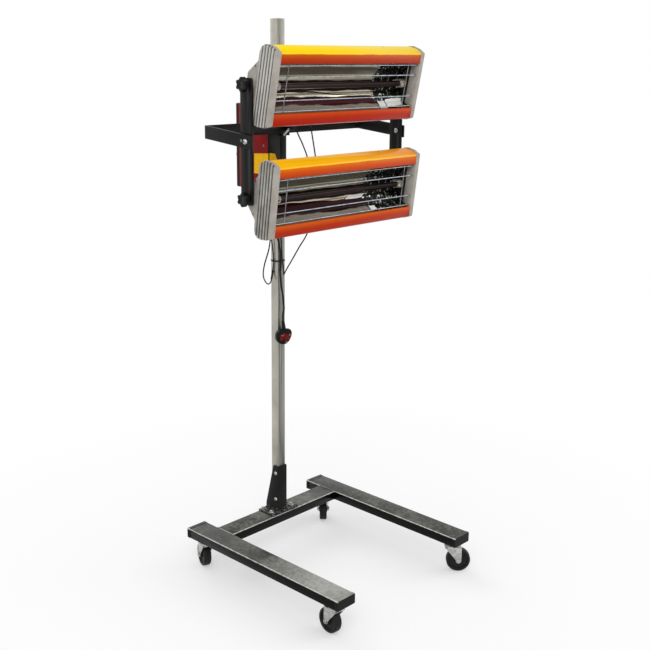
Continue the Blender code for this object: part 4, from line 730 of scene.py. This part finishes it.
def dress_nodes():
    for finish, width, names in DRESSED:
        for name in names:
            finish_node(name, finish, width)
    for level in LEVELS:
        finish_node("top_rail_" + level, "rail_" + level, 0.0004, 50.0)
        finish_node("bottom_rail_" + level, "rail_" + level, 0.0004, 50.0)
        finish_node("back_cover_" + level, "sheet", 0.0002)
        finish_node("reflector_" + level, "mirror_" + level)
        finish_node("lamp_tube_" + level, "lamp", 0.0003, 40.0)
        for side, _ in SIDES:
            finish_node("end_cap_" + side + "_" + level, "cast_" + level, 0.0006, 40.0)


# Fittings: screws, welds, covers and marks, each a mesh of its own

LOBE_SHARE = 0.147
KNURL_SHARE = 0.035
# A cross slot's half width as an angle, and its depth
CROSS_WIDTH, CROSS_FLOOR = 0.3, 0.4
FORMS = {
    "round": lambda turn: 1.0,
    "hexagon": lambda turn: cos(pi / 6) / cos(turn % (pi / 3) - pi / 6),
    "cross": lambda turn: (1.0 if abs((turn + pi / 4) % (pi / 2) - pi / 4) < CROSS_WIDTH
                           else CROSS_FLOOR),
    "star": lambda turn: 1.0 + LOBE_SHARE * cos(6 * turn),
    "knurl": lambda turn: 1.0 + KNURL_SHARE * cos(24 * turn),
}


def on_cassette(level, x, y, z):
    """A point given from the pivot in a cassette's own tilted axes."""
    return PIVOTS[level] + Matrix.Rotation(radians(CASSETTE_TILTS[level]), 3, "X") @ Vector((x, y, z))


def turned(bm, start, way, profile, sides=24, closed=False):
    """Rings of (distance along, radius, form) about an axis."""
    way = Vector(way).normalized()
    first = RIGHT if abs(way.z) > 0.7 else UP
    first = (first - way * first.dot(way)).normalized()
    second = way.cross(first)
    rings = []
    for along, radius, *form in profile:
        shape = FORMS[form[0] if form else "round"]
        ring = []
        for k, (a, b) in enumerate(circle(sides)):
            reach = radius * shape(tau * k / sides)
            ring.append(Vector(start) + way * along + first * reach * a + second * reach * b)
        rings.append(ring)
    loft(bm, rings, closed)


def slab(bm, middle, size, turn=None):
    """A small plate with broken edges."""
    middle, half = Vector(middle), Vector(size) / 2
    edge = min(half) * 0.35
    rings = []
    for z, inset in ((-half.z, edge), (-half.z + edge, 0.0), (half.z - edge, 0.0), (half.z, edge)):
        ring = [Vector((a * (half.x - inset), b * (half.y - inset), z)) for a, b in SQUARE]
        rings.append([middle + (turn @ point if turn else point) for point in ring])
    loft(bm, rings)


def hexagon_head(bm, start, way, radius, height):
    turned(bm, start, way, [(0.0, radius, "hexagon"), (height * 0.82, radius, "hexagon"),
                            (height, radius * 0.86), (height, radius * 0.8)])


def thread_end(bm, start, way, radius, height):
    pitch = 0.0006
    steps = max(2, round(height / pitch))
    rings = []
    for k in range(steps):
        rings += [(k * pitch, radius * 0.9), (k * pitch + pitch / 2, radius)]
    turned(bm, start, way, [*rings, (steps * pitch, radius * 0.85)], 16)


def button_head(bm, start, way, radius, height, socket="hexagon"):
    """A domed head with its socket."""
    profile = ((0.0, 1.0), (0.18, 1.0), (0.55, 0.9), (0.86, 0.68), (1.0, 0.5), (0.97, 0.42, socket),
               (0.4, 0.4, socket))
    turned(bm, start, way, [(height * a, radius * b, *form) for a, b, *form in profile])


def nut_stack(bm, start, way, washer, nut, thread, thread_from):
    """A washer, a nut on it and the end of the thread, each by its radius and height."""
    radius, height = washer
    turned(bm, start, way, [(0.0, radius), (height * 0.7, radius), (height, radius * 0.97)])
    hexagon_head(bm, start + way * height, way, *nut)
    thread_end(bm, start + way * thread_from, way, *thread)


def bead(bm, start, end, radius):
    """A rippled weld along a joint."""
    start, end = Vector(start), Vector(end)
    count = max(6, round((end - start).length / 0.001))
    path = [start.lerp(end, k / count) for k in range(count + 1)]
    tube(bm, path, [radius * (0.86 + 0.14 * cos(k * 1.7)) for k in range(count + 1)], 8)


FOOT_TOP = 0.1333
FOOT_HALF = 0.0183
FOOT_FRONT, FOOT_REAR = 0.2007, 0.256
FOOT_BOLT_X = 0.043
FOOT_BOLT_Y = (MAST_Y - 0.0125, MAST_Y + 0.0265)
CROSS_BOLT_Y = 0.212
CROSS_BOLT_HEIGHTS = (0.2567, 0.1686)


# Washer, nut and thread end, each by its radius and height, and where the thread ends start
FOOT_NUT = ((0.0085, 0.0012), (0.0068, 0.0044), (0.0036, 0.0018), 0.0054)
CROSS_NUT = ((0.0075, 0.0011), (0.0062, 0.0042), (0.0034, 0.0024), 0.005)
# Radius and height of the other heads and nuts, and the welds' radii
HEADS = {
    "cross": (0.0064, 0.0042), "plate": (0.0048, 0.003), "axle": (0.007, 0.0038), "frame": (0.0076, 0.0061),
    "yoke": (0.004, 0.0024), "side": (0.0034, 0.0017), "lid": (0.0029, 0.0014), "lap": (0.0034, 0.0016),
    "end": (0.0036, 0.0018),
}
WELDS = {"foot": 0.0014, "top": 0.0011, "side": 0.0013, "head": 0.0014}


def foot_fittings():
    bm = bmesh.new()
    for x in (-FOOT_BOLT_X, FOOT_BOLT_X):
        for y in FOOT_BOLT_Y:
            nut_stack(bm, Vector((x, y, FOOT_TOP)), UP, *FOOT_NUT)
    for z in CROSS_BOLT_HEIGHTS:
        base = Vector((0.0, CROSS_BOLT_Y, z))
        button_head(bm, base - RIGHT * FOOT_HALF, -RIGHT, *HEADS["cross"])
        nut_stack(bm, base + RIGHT * FOOT_HALF, RIGHT, *CROSS_NUT)
    fitting("foot_bolts", "stand", "zinc", bm)
    bm = bmesh.new()
    for x in (-FOOT_HALF, FOOT_HALF):
        bead(bm, (x, FOOT_FRONT, FOOT_TOP), (x, FOOT_REAR, FOOT_TOP), WELDS["foot"])
    bead(bm, (-FOOT_HALF, FOOT_FRONT, FOOT_TOP), (FOOT_HALF, FOOT_FRONT, FOOT_TOP), WELDS["foot"])
    fitting("foot_welds", "stand", "frame", bm)


WELD_OFF = 0.0002
WELD_LOW = 0.0985
PLATE_BOTTOM = 0.0952
PLATE_BOLT_REACH = 0.0205


def base_fittings():
    bm = bmesh.new()
    for side in (-1, 1):
        x = side * (LEG_X - TUBE_HALF - WELD_OFF)
        front, rear = MAST_Y - TUBE_HALF, MAST_Y + TUBE_HALF
        bead(bm, (x, front, BASE_TOP), (x, rear, BASE_TOP), WELDS["top"])
        for y in (front, rear):
            bead(bm, (x, y, WELD_LOW), (x, y, BASE_TOP), WELDS["side"])
    fitting("base_welds", "stand", "base", bm)
    for word, side in SIDES:
        for place, end in (("front", -1), ("rear", 1)):
            bm = bmesh.new()
            leg_cover(bm, side * LEG_X, end)
            fitting("leg_cover_" + place + "_" + word, "stand", "base", bm)
    bm = bmesh.new()
    for corner in CORNERS:
        middle = box_middle("caster_plate_" + corner)
        for a, b in ((-1, -1), (-1, 1), (1, -1), (1, 1)):
            base = (middle.x + a * PLATE_BOLT_REACH, middle.y + b * PLATE_BOLT_REACH, PLATE_BOTTOM)
            hexagon_head(bm, base, -UP, *HEADS["plate"])
    fitting("caster_plate_bolts", "stand", "zinc", bm)


LEG_END = 0.315
LEG_BOTTOM = 0.098
COVER_LIP = 0.01
COVER_PROUD = 0.0012
COVER_SHEET = 0.0007
COVER_EDGE = 0.0008
COVER_CORNER = 0.0032


def leg_cover(bm, x, end):
    """A moulded cover pushed over a leg's end."""
    rings = []
    inner, outer = LEG_END - COVER_LIP, LEG_END + COVER_PROUD
    for y, grow in ((inner, -0.0002), (inner, COVER_SHEET), (outer - COVER_EDGE, COVER_SHEET), (outer, 0.0)):
        wide, low, high = TUBE_HALF + grow, LEG_BOTTOM - grow, BASE_TOP + grow
        ring = []
        for a, b, start in ((1, 1, 0), (-1, 1, 90), (-1, -1, 180), (1, -1, 270)):
            for k in range(4):
                turn = radians(start + 30 * k)
                middle_z = high - COVER_CORNER if b > 0 else low + COVER_CORNER
                ring.append(Vector((x + a * (wide - COVER_CORNER) + COVER_CORNER * cos(turn), end * y,
                                    middle_z + COVER_CORNER * sin(turn))))
        rings.append(ring)
    loft(bm, rings)


# Profiles from here on: distance along the axis, radius, form
WHEEL_HALF = ((0.001, 0.0366), (0.0016, 0.03704), (0.007, 0.03704), (0.01, 0.036), (0.0118, 0.0342),
              (0.012, 0.0325), (0.012, 0.0292), (0.0112, 0.0282), (0.0076, 0.0268), (0.007, 0.025),
              (0.007, 0.0135), (0.0082, 0.0118), (0.0132, 0.011), (0.014, 0.0102), (0.014, 0.0043))
RACE = ((0.0808, 0.0218), (0.0862, 0.0218), (0.087, 0.021), (0.0878, 0.0192), (0.0878, 0.0184),
        (0.0946, 0.0184))
AXLE_NUT_OUT = 0.017


def caster_fittings():
    """Round wheels, races and axle nuts over the plainer solids."""
    for corner in CORNERS:
        joint = JOINTS["wheel_spin_" + corner]
        centre, way = Vector(joint["pos_m"]), Vector(joint["axis"]).normalized()
        bm = bmesh.new()
        profile = [*WHEEL_HALF, *[(-along, radius) for along, radius in reversed(WHEEL_HALF)]]
        turned(bm, centre, way, profile, 64, closed=True)
        fitting("wheel_round_" + corner, "wheel_" + corner, "rubber", bm, ["caster_wheel_" + corner])
        bm = bmesh.new()
        for side in (-1, 1):
            hexagon_head(bm, centre + way * side * AXLE_NUT_OUT, way * side, *HEADS["axle"])
        stem = JOINTS["caster_swivel_" + corner]["pos_m"]
        turned(bm, (stem[0], stem[1], 0.0), UP, RACE, 40)
        fitting("caster_race_" + corner, "fork_" + corner, "zinc", bm)


GRIP = ((0.3024, 0.0092), (0.303, 0.0098), (0.3072, 0.0102), (0.308, 0.014, "star"),
        (0.3086, 0.0157, "star"), (0.31, 0.0168, "star"), (0.3234, 0.0168, "star"),
        (0.3248, 0.0158, "star"), (0.3254, 0.0138, "star"), (0.3254, 0.008), (0.3249, 0.0074))
STUD = ((0.2881, 0.0034), (0.2887, 0.004), (0.3024, 0.004))


def knob_fittings():
    for level in LEVELS:
        for word, side in SIDES:
            base, way = Vector((0.0, PIVOTS[level].y, PIVOTS[level].z)), RIGHT * side
            name = level + "_" + word
            bm = bmesh.new()
            turned(bm, base, way, GRIP, 96)
            fitting("star_knob_" + name, "knob_" + name, "plastic", bm, ["tilt_knob_" + name], 40.0)
            bm = bmesh.new()
            turned(bm, base, way, STUD)
            fitting("knob_stud_" + name, "knob_" + name, "zinc", bm)


FRAME_BOLT = ((0.2923, 0.0062, "hexagon"), (0.293, 0.0074, "hexagon"), (0.2958, 0.0074, "hexagon"),
              (0.2958, 0.004), (0.3087, 0.004))
FRAME_BOLT_SEAT = 0.3086
YOKE_SCREW = (0.3084, 0.0325, 1.3235)
BOX_LEFT = -0.0654
BOX_MIDDLE = -0.0424
BOX_FRONT = 0.189
LID_FACE = 0.326
SIDE_SCREWS_Y = (0.2088, 0.3)
SIDE_SCREW_HEIGHT = 1.2852
LID_SCREW_REACH = 0.0165
LID_SCREW_HEIGHTS = (1.166, 1.392)
SLEEVE_WELD_X = 0.0156
# Welds between yoke, block and sleeve: their place along Y, and how far they reach up and down
SLEEVE_WELDS = ((0.1838, 0.0175), (0.1999, 0.025))


def head_fittings():
    bm = bmesh.new()
    for word, side in SIDES:
        middle = box_middle("frame_bolt_" + word)
        axis, way = Vector((0.0, middle.y, middle.z)), RIGHT * side
        turned(bm, axis, way, FRAME_BOLT)
        button_head(bm, axis + way * FRAME_BOLT_SEAT, way, *HEADS["frame"], "round")
    fitting("frame_bolt_heads", "head", "zinc", bm, ["frame_bolt_left", "frame_bolt_right"])
    bm = bmesh.new()
    x, y, z = YOKE_SCREW
    for side in (-1, 1):
        button_head(bm, (side * x, y, z), RIGHT * side, *HEADS["yoke"], "cross")
    for y in SIDE_SCREWS_Y:
        button_head(bm, (BOX_LEFT, y, SIDE_SCREW_HEIGHT), -RIGHT, *HEADS["side"], "cross")
    for x in (-LID_SCREW_REACH, LID_SCREW_REACH):
        for z in LID_SCREW_HEIGHTS:
            button_head(bm, (BOX_MIDDLE + x, LID_FACE, z), BACK, *HEADS["lid"], "cross")
    fitting("head_screws", "head", "screws", bm)
    bm = bmesh.new()
    for x in (-SLEEVE_WELD_X, SLEEVE_WELD_X):
        for y, reach in SLEEVE_WELDS:
            bead(bm, (x, y, HEAD_HEIGHT - reach), (x, y, HEAD_HEIGHT + reach), WELDS["head"])
    fitting("head_welds", "head", "frame", bm)


# The plain panel wraps round the box's corner: its outline on the side (y, z) and on the front (x, z)
PANEL_SIDE = ((0.1894, 1.264), (0.249, 1.26), (0.25, 1.203), (0.1894, 1.203))
PANEL_FRONT = ((-0.061, 1.265), (-0.039, 1.262), (-0.031, 1.243), (-0.027, 1.23), (-0.027, 1.203),
               (-0.061, 1.203))
PANEL_SKIN = (-0.0001, 0.0003)
# Ribs of the mains lead's strain relief: how many, place, top, length, radius at the top, taper and rise
RELIEF_RIBS = 5
RELIEF_X, RELIEF_Y, RELIEF_TOP, RELIEF_LENGTH = -0.0539, 0.215, 1.1502, 0.0165
RELIEF_RADIUS, RELIEF_TAPER, RIB_RISE = 0.008, 0.0025, 0.001
RIB = ((0.0, 0.95), (0.0004, 1.0), (0.0013, 1.0), (0.0017, 0.93))
ROCKER_HEIGHTS = {"upper": 1.351, "lower": 1.316}
TIMER_HEIGHT = 1.251
TIMER_MARKS = 11
MARK_RING, LONG_MARK_RING = 0.0189, 0.0194
MARK_LENGTH, LONG_MARK_LENGTH = 0.0024, 0.0034
MARK_WIDTH, MARK_DEPTH, MARK_PROUD = 0.0007, 0.0005, 0.0001
# A rocker's frame: how far its bars lie out and up, how far it stands proud, and its bars' sizes
BAR_OUT, BAR_UP, BAR_PROUD = 0.0073, 0.0111, 0.0006
UPRIGHT_BAR, LEVEL_BAR = (0.0017, 0.0014, 0.024), (0.0163, 0.0014, 0.0017)


def box_fittings():
    bm = bmesh.new()
    loft(bm, [[(BOX_LEFT - skin, y, z) for y, z in PANEL_SIDE] for skin in PANEL_SKIN])
    loft(bm, [[(x, BOX_FRONT - skin, z) for x, z in PANEL_FRONT] for skin in PANEL_SKIN])
    fitting("plain_panel", "head", "panel", bm)
    bm = bmesh.new()
    for step in range(RELIEF_RIBS):
        share = (step + 0.5) / RELIEF_RIBS
        radius = RELIEF_RADIUS - share * RELIEF_TAPER + RIB_RISE
        rib = [(along, radius * part) for along, part in RIB]
        turned(bm, (RELIEF_X, RELIEF_Y, RELIEF_TOP - share * RELIEF_LENGTH), -UP, rib)
    for z in ROCKER_HEIGHTS.values():
        rocker_frame(bm, z)
    fitting("box_mouldings", "head", "plastic", bm)
    bm = bmesh.new()
    for k in range(TIMER_MARKS):
        turn = radians(-150 + 30 * k)
        ring, length = (MARK_RING, MARK_LENGTH) if k % 5 else (LONG_MARK_RING, LONG_MARK_LENGTH)
        at = (BOX_MIDDLE + ring * sin(turn), LID_FACE + MARK_PROUD, TIMER_HEIGHT + ring * cos(turn))
        slab(bm, at, (MARK_WIDTH, MARK_DEPTH, length), Matrix.Rotation(turn, 3, "Y"))
    fitting("timer_marks", "head", "marks", bm)


def rocker_frame(bm, z):
    """A raised frame round a rocker, in four bars."""
    y = LID_FACE + BAR_PROUD
    for side in (-1, 1):
        slab(bm, (BOX_MIDDLE + side * BAR_OUT, y, z), UPRIGHT_BAR)
        slab(bm, (BOX_MIDDLE, y, z + side * BAR_UP), LEVEL_BAR)


ROCKER_SLOPE = atan2(0.0015, 0.009)
# The line and the ring that mark a rocker's ends, and the timer's pointer
LINE_PROUD, RING_PROUD = 0.00225, 0.00222
LINE_SIZE = (0.0008, 0.0004, 0.003)
MARK_OFF = 0.0046
POINTER_PROUD, POINTER_RISE = 0.0147, 0.007
POINTER_SIZE = (0.0014, 0.001, 0.0085)
OFF_RING = ((0.0, 0.0019), (0.00022, 0.0019), (0.00022, 0.0013), (0.0, 0.0013))
TIMER_GRIP = ((-0.008, 0.003), (0.0003, 0.003), (0.0003, 0.0158), (0.0036, 0.016), (0.0044, 0.0154),
              (0.0047, 0.0129, "knurl"), (0.0128, 0.0125, "knurl"), (0.0141, 0.0116, "knurl"),
              (0.0147, 0.0098), (0.0147, 0.007), (0.0143, 0.0066))


def switch_fittings():
    tilt = Matrix.Rotation(ROCKER_SLOPE, 3, "X")
    for level, z in ROCKER_HEIGHTS.items():
        bm = bmesh.new()
        slab(bm, (BOX_MIDDLE, LID_FACE + LINE_PROUD, z + MARK_OFF), LINE_SIZE, tilt.transposed())
        turned(bm, (BOX_MIDDLE, LID_FACE + RING_PROUD, z - MARK_OFF), tilt @ BACK, OFF_RING, 32, closed=True)
        fitting("rocker_marks_" + level, "rocker_" + level, "marks", bm)
    bm = bmesh.new()
    turned(bm, (BOX_MIDDLE, LID_FACE, TIMER_HEIGHT), BACK, TIMER_GRIP, 96)
    fitting("timer_grip", "timer", "plastic", bm, ["timer_knob"])
    bm = bmesh.new()
    slab(bm, (BOX_MIDDLE, LID_FACE + POINTER_PROUD, TIMER_HEIGHT + POINTER_RISE), POINTER_SIZE)
    fitting("timer_pointer", "timer", "marks", bm)


# The plug from its top: outline (across, up), rings (out, share), pins (across, up, width, height)
PLUG_FORM = ((-0.0165, -0.003), (-0.0275, -0.019), (-0.0235, -0.038), (-0.005, -0.048), (0.011, -0.041),
             (0.02, -0.027), (0.0225, -0.011), (0.014, -0.0015))
FORM_STEPS = 6
PLUG_RINGS = ((-0.011, 0.78), (-0.009, 0.92), (-0.003, 1.0), (0.0065, 1.0), (0.0098, 0.96), (0.011, 0.89))
PLUG_PINS = ((-0.0135, -0.015, 0.0063, 0.004), (0.0087, -0.015, 0.0063, 0.004),
             (-0.0024, -0.037, 0.004, 0.008))
PIN_LENGTH = 0.015
CORD_END = Vector((-0.0065, 0.1905, 0.7562))
NECK_RINGS = 20
NECK_SIDES = 20
NECK_RADIUS, NECK_TAPER, NECK_GROOVE = 0.0068, 0.0018, 0.88
# How far the neck starts below the plug's top, and how much it is longer than the way to the cord
NECK_SUNK, NECK_OVER = 0.002, 0.0018


def plug_body():
    """The plug hangs from its ribbed neck, turned a little to the left."""
    out = Vector((-sin(PLUG_TURN), -cos(PLUG_TURN), 0.0))
    across = Vector((-out.y, out.x, 0.0))
    form = [Vector(point) for point in PLUG_FORM]
    middle = sum(form, Vector((0.0, 0.0))) / len(form)
    outline = []
    for i in range(len(form)):
        outline += curve_points(*[form[(i + k) % len(form)] for k in (-1, 0, 1, 2)], FORM_STEPS)
    bm, rings = bmesh.new(), []
    for reach, share in PLUG_RINGS:
        points = [middle + (spot - middle) * share for spot in outline]
        rings.append([PLUG_TOP + out * reach + across * point.x + UP * point.y for point in points])
    loft(bm, rings)
    turn = Matrix.Rotation(-PLUG_TURN, 3, "Z")
    for x, z, wide, tall in PLUG_PINS:
        pin = PLUG_TOP + out * (PLUG_HALF_DEPTH + PIN_LENGTH / 2) + across * x + UP * z
        slab(bm, pin, (wide, PIN_LENGTH, tall), turn)
    neck, rings = CORD_END - PLUG_TOP, []
    for step in range(NECK_RINGS + 1):
        share = step / NECK_RINGS
        radius = (NECK_RADIUS - NECK_TAPER * share) * (NECK_GROOVE if step % 4 in (0, 3) else 1.0)
        centre = PLUG_TOP - UP * NECK_SUNK + (neck + UP * NECK_OVER) * share
        rings.append([centre + Vector((a, b, 0.0)) * radius for a, b in circle(NECK_SIDES)])
    loft(bm, rings)
    return fitting("shield_plug", "head", "plug", bm, ["plug"], 40.0)


# What the tie gathers, as round posts (x, y, radius): the mast's corners, the mains lead and two lamp leads
TIE_POSTS = ((-0.012, 0.207, 0.003), (0.012, 0.207, 0.003), (0.012, 0.231, 0.003), (-0.012, 0.231, 0.003),
             (-0.009, 0.199, 0.0035), (0.0008, 0.2002, 0.0025), (-0.0185, 0.218, 0.0025))
TIE_HEIGHT = 0.94
TIE_TURNS = 32
TIE_GAP = 0.0007
TIE_BAND = 0.0011
TIE_HALF_HEIGHT = 0.0019
# The lock and the loose tail behind the mast: middle and size
LOCK = ((0.004, 0.2375, TIE_HEIGHT), (0.0064, 0.0046, 0.0066))
TAIL = ((0.0128, 0.2385, TIE_HEIGHT), (0.015, 0.0011, 0.0038))
TAIL_LEAN = radians(-24)


def taut_outline():
    """The posts and directions that a strap pulled tight round them touches, in order."""
    points = []
    for x, y, radius in TIE_POSTS:
        for a, b in circle(TIE_TURNS):
            way = Vector((a, b, 0.0))
            points.append((Vector((x, y, 0.0)) + way * radius, way))
    points.sort(key=lambda item: (item[0].x, item[0].y))
    outline = []
    for half in (points, points[::-1]):
        chain = []
        for point, way in half:
            while len(chain) > 1 and (chain[-1][0] - chain[-2][0]).cross(point - chain[-1][0]).z <= 0.0:
                chain.pop()
            chain.append((point, way))
        outline += chain[:-1]
    return outline


def tie_fitting():
    bm = bmesh.new()
    outline, outer = taut_outline(), TIE_GAP + TIE_BAND
    loft(bm, [[point + way * reach + UP * (TIE_HEIGHT + lift * TIE_HALF_HEIGHT) for point, way in outline]
              for reach, lift in ((TIE_GAP, -1.0), (outer, -1.0), (outer, 1.0), (TIE_GAP, 1.0))], closed=True)
    slab(bm, *LOCK)
    slab(bm, *TAIL, Matrix.Rotation(TAIL_LEAN, 3, "Z"))
    fitting("taut_tie", "head", "plastic", bm, ["cable_tie"])


# In a cassette's own axes: screws of the cover's laps and ends, then the wires, the posts and their welds
LAP_SCREWS, LAP_SCREW_HEIGHTS, LAP_Y = (-0.22, -0.075, 0.075, 0.22), (-0.065, 0.075), -0.019
END_SCREW_X, END_SCREW_HEIGHTS, END_SCREW_Y = 0.2879, (-0.04, 0.05), -0.008
WIRE_Y, POST_Y, DROP_Y = -0.078, -0.076, -0.0786
GUARD_HEIGHTS = (-0.0585, -0.03, 0.03, 0.0585)
WIRE_RADIUS = 0.0015
WIRE_END = 0.2762
POST_HALF = 0.0615
WELD_DROP = ((0.0, 0.0012), (0.0006, 0.0019), (0.0024, 0.002), (0.0032, 0.0013))
GLAND_SUNK = 0.0116
GLAND = ((0.0, 0.0084, "hexagon"), (0.003, 0.0084, "hexagon"), (0.0032, 0.0072), (0.0036, 0.007, "knurl"),
         (0.0078, 0.007, "knurl"), (0.009, 0.0062), (0.0114, 0.0049), (0.0115, 0.003))


def cassette_fittings(level):
    body = "cassette_" + level
    back = on_cassette(level, 0.0, 1.0, 0.0) - PIVOTS[level]
    bm = bmesh.new()
    for x in LAP_SCREWS:
        for z in LAP_SCREW_HEIGHTS:
            button_head(bm, on_cassette(level, x, LAP_Y, z), back, *HEADS["lap"], "cross")
    for side in (-1, 1):
        for z in END_SCREW_HEIGHTS:
            spot = on_cassette(level, side * END_SCREW_X, END_SCREW_Y, z)
            button_head(bm, spot, RIGHT * side, *HEADS["end"], "cross")
    fitting("cover_screws_" + level, body, "screws", bm)
    bm = bmesh.new()
    heights = [z + CASSETTE_RISE for z in GUARD_HEIGHTS]
    for z in heights:
        tube(bm, [on_cassette(level, x, WIRE_Y, z) for x in (-WIRE_END, WIRE_END)], WIRE_RADIUS, 12)
    for x in (-POST_X, POST_X):
        ends = [on_cassette(level, x, POST_Y, z + CASSETTE_RISE) for z in (-POST_HALF, POST_HALF)]
        tube(bm, ends, WIRE_RADIUS, 12)
        for z in heights:
            turned(bm, on_cassette(level, x, DROP_Y, z), back, WELD_DROP, 12)
    fitting("guard_wires_" + level, body, "wire", bm, ["guard_" + level])
    bm = bmesh.new()
    way = Vector(LEAD_WAYS[level])
    for start in ("lower",) if level == "lower" else ("upper", "second"):
        turned(bm, from_mast(LEAD_STARTS[start]) - way * GLAND_SUNK, way, GLAND, 48)
    fitting("lead_glands_" + level, body, "plastic", bm)


# Studio

FLOOR_HALF = 8.0
NEAR_FLOOR = 0.35
FAR_FLOOR = 1.6
NEAR_WHITE = 0.35
AMBIENT = 0.62
WHITE = (1.0, 1.0, 1.0, 1.0)
AIM = Vector((0.0, 0.05, 0.95))
# Name, place, size and power
LAMPS = (
    ("key_light", (-2.6, -2.2, 3.4), 2.2, 62.0),
    ("fill_light", (2.8, -1.8, 2.2), 2.4, 26.0),
    ("rear_light", (0.4, 3.0, 2.8), 2.4, 30.0),
)


def seen_directly(tree):
    """1 for rays from the camera, off a gloss or through a glass."""
    path = make_node(tree, "LightPath")
    return path["Is Camera Ray"].higher(path["Is Glossy Ray"]).higher(path["Is Transmission Ray"])


def make_floor():
    """A pale floor that keeps the shadow near the stand and turns white further out."""
    bm = bmesh.new()
    bm.faces.new([bm.verts.new((x * FLOOR_HALF, y * FLOOR_HALF, 0.0)) for x, y in SQUARE])
    finish = Finish("studio_floor", (252, 252, 252), 0.9)
    finish.set({"Specular IOR Level": 0.0})
    tree, plain = finish.tree, Value(finish.tree, finish.shader.outputs["BSDF"])
    share = finish.distance().span(NEAR_FLOOR, FAR_FLOOR, NEAR_WHITE, 1.0) * seen_directly(tree)
    glow = make_node(tree, "Emission", {"Color": WHITE, "Strength": 1.0})["Emission"]
    both = make_node(tree, "MixShader", {0: share, 1: plain, 2: glow})["Shader"]
    feed(tree, tree.nodes["Material Output"].inputs["Surface"], both)
    piece("studio_floor", bm, finish.material)


def make_world():
    world = bpy.data.worlds.new("studio")
    bpy.context.scene.world = world
    world.use_nodes = True
    tree = world.node_tree
    background = tree.nodes["Background"].inputs
    feed(tree, background["Color"], WHITE)
    feed(tree, background["Strength"], seen_directly(tree).span(0.0, 1.0, AMBIENT, 1.0))


def make_lights():
    for name, place, size, power in LAMPS:
        light = bpy.data.lights.new(name, "AREA")
        light.shape = "SQUARE"
        light.size = size
        light.energy = power
        item = linked(name, light)
        item.location = place
        item.rotation_euler = (AIM - Vector(place)).to_track_quat("-Z", "Y").to_euler()


def make_camera():
    yaw, pitch, roll = (radians(value) for value in CAMERA_TURNS)
    ahead = Vector((sin(yaw) * cos(pitch), cos(yaw) * cos(pitch), -sin(pitch)))
    right = Vector((cos(yaw), -sin(yaw), 0.0))
    above = right.cross(ahead)
    side = right * cos(roll) + above * sin(roll)
    top = above * cos(roll) - right * sin(roll)
    camera = bpy.data.cameras.new("camera")
    camera.lens = CAMERA_LENS
    camera.sensor_width = SENSOR_WIDTH
    item = linked("camera", camera)
    item.matrix_world = Matrix.Translation(CAMERA_PLACE) @ Matrix((side, top, -ahead)).transposed().to_4x4()
    bpy.context.scene.camera = item


def main():
    bpy.context.scene.view_settings.view_transform = "Standard"
    make_camera()
    make_world()
    make_lights()
    make_floor()
    make_cords(plug_body())
    dress_nodes()
    foot_fittings()
    base_fittings()
    caster_fittings()
    knob_fittings()
    head_fittings()
    box_fittings()
    switch_fittings()
    tie_fitting()
    for level in LEVELS:
        cassette_fittings(level)


main()
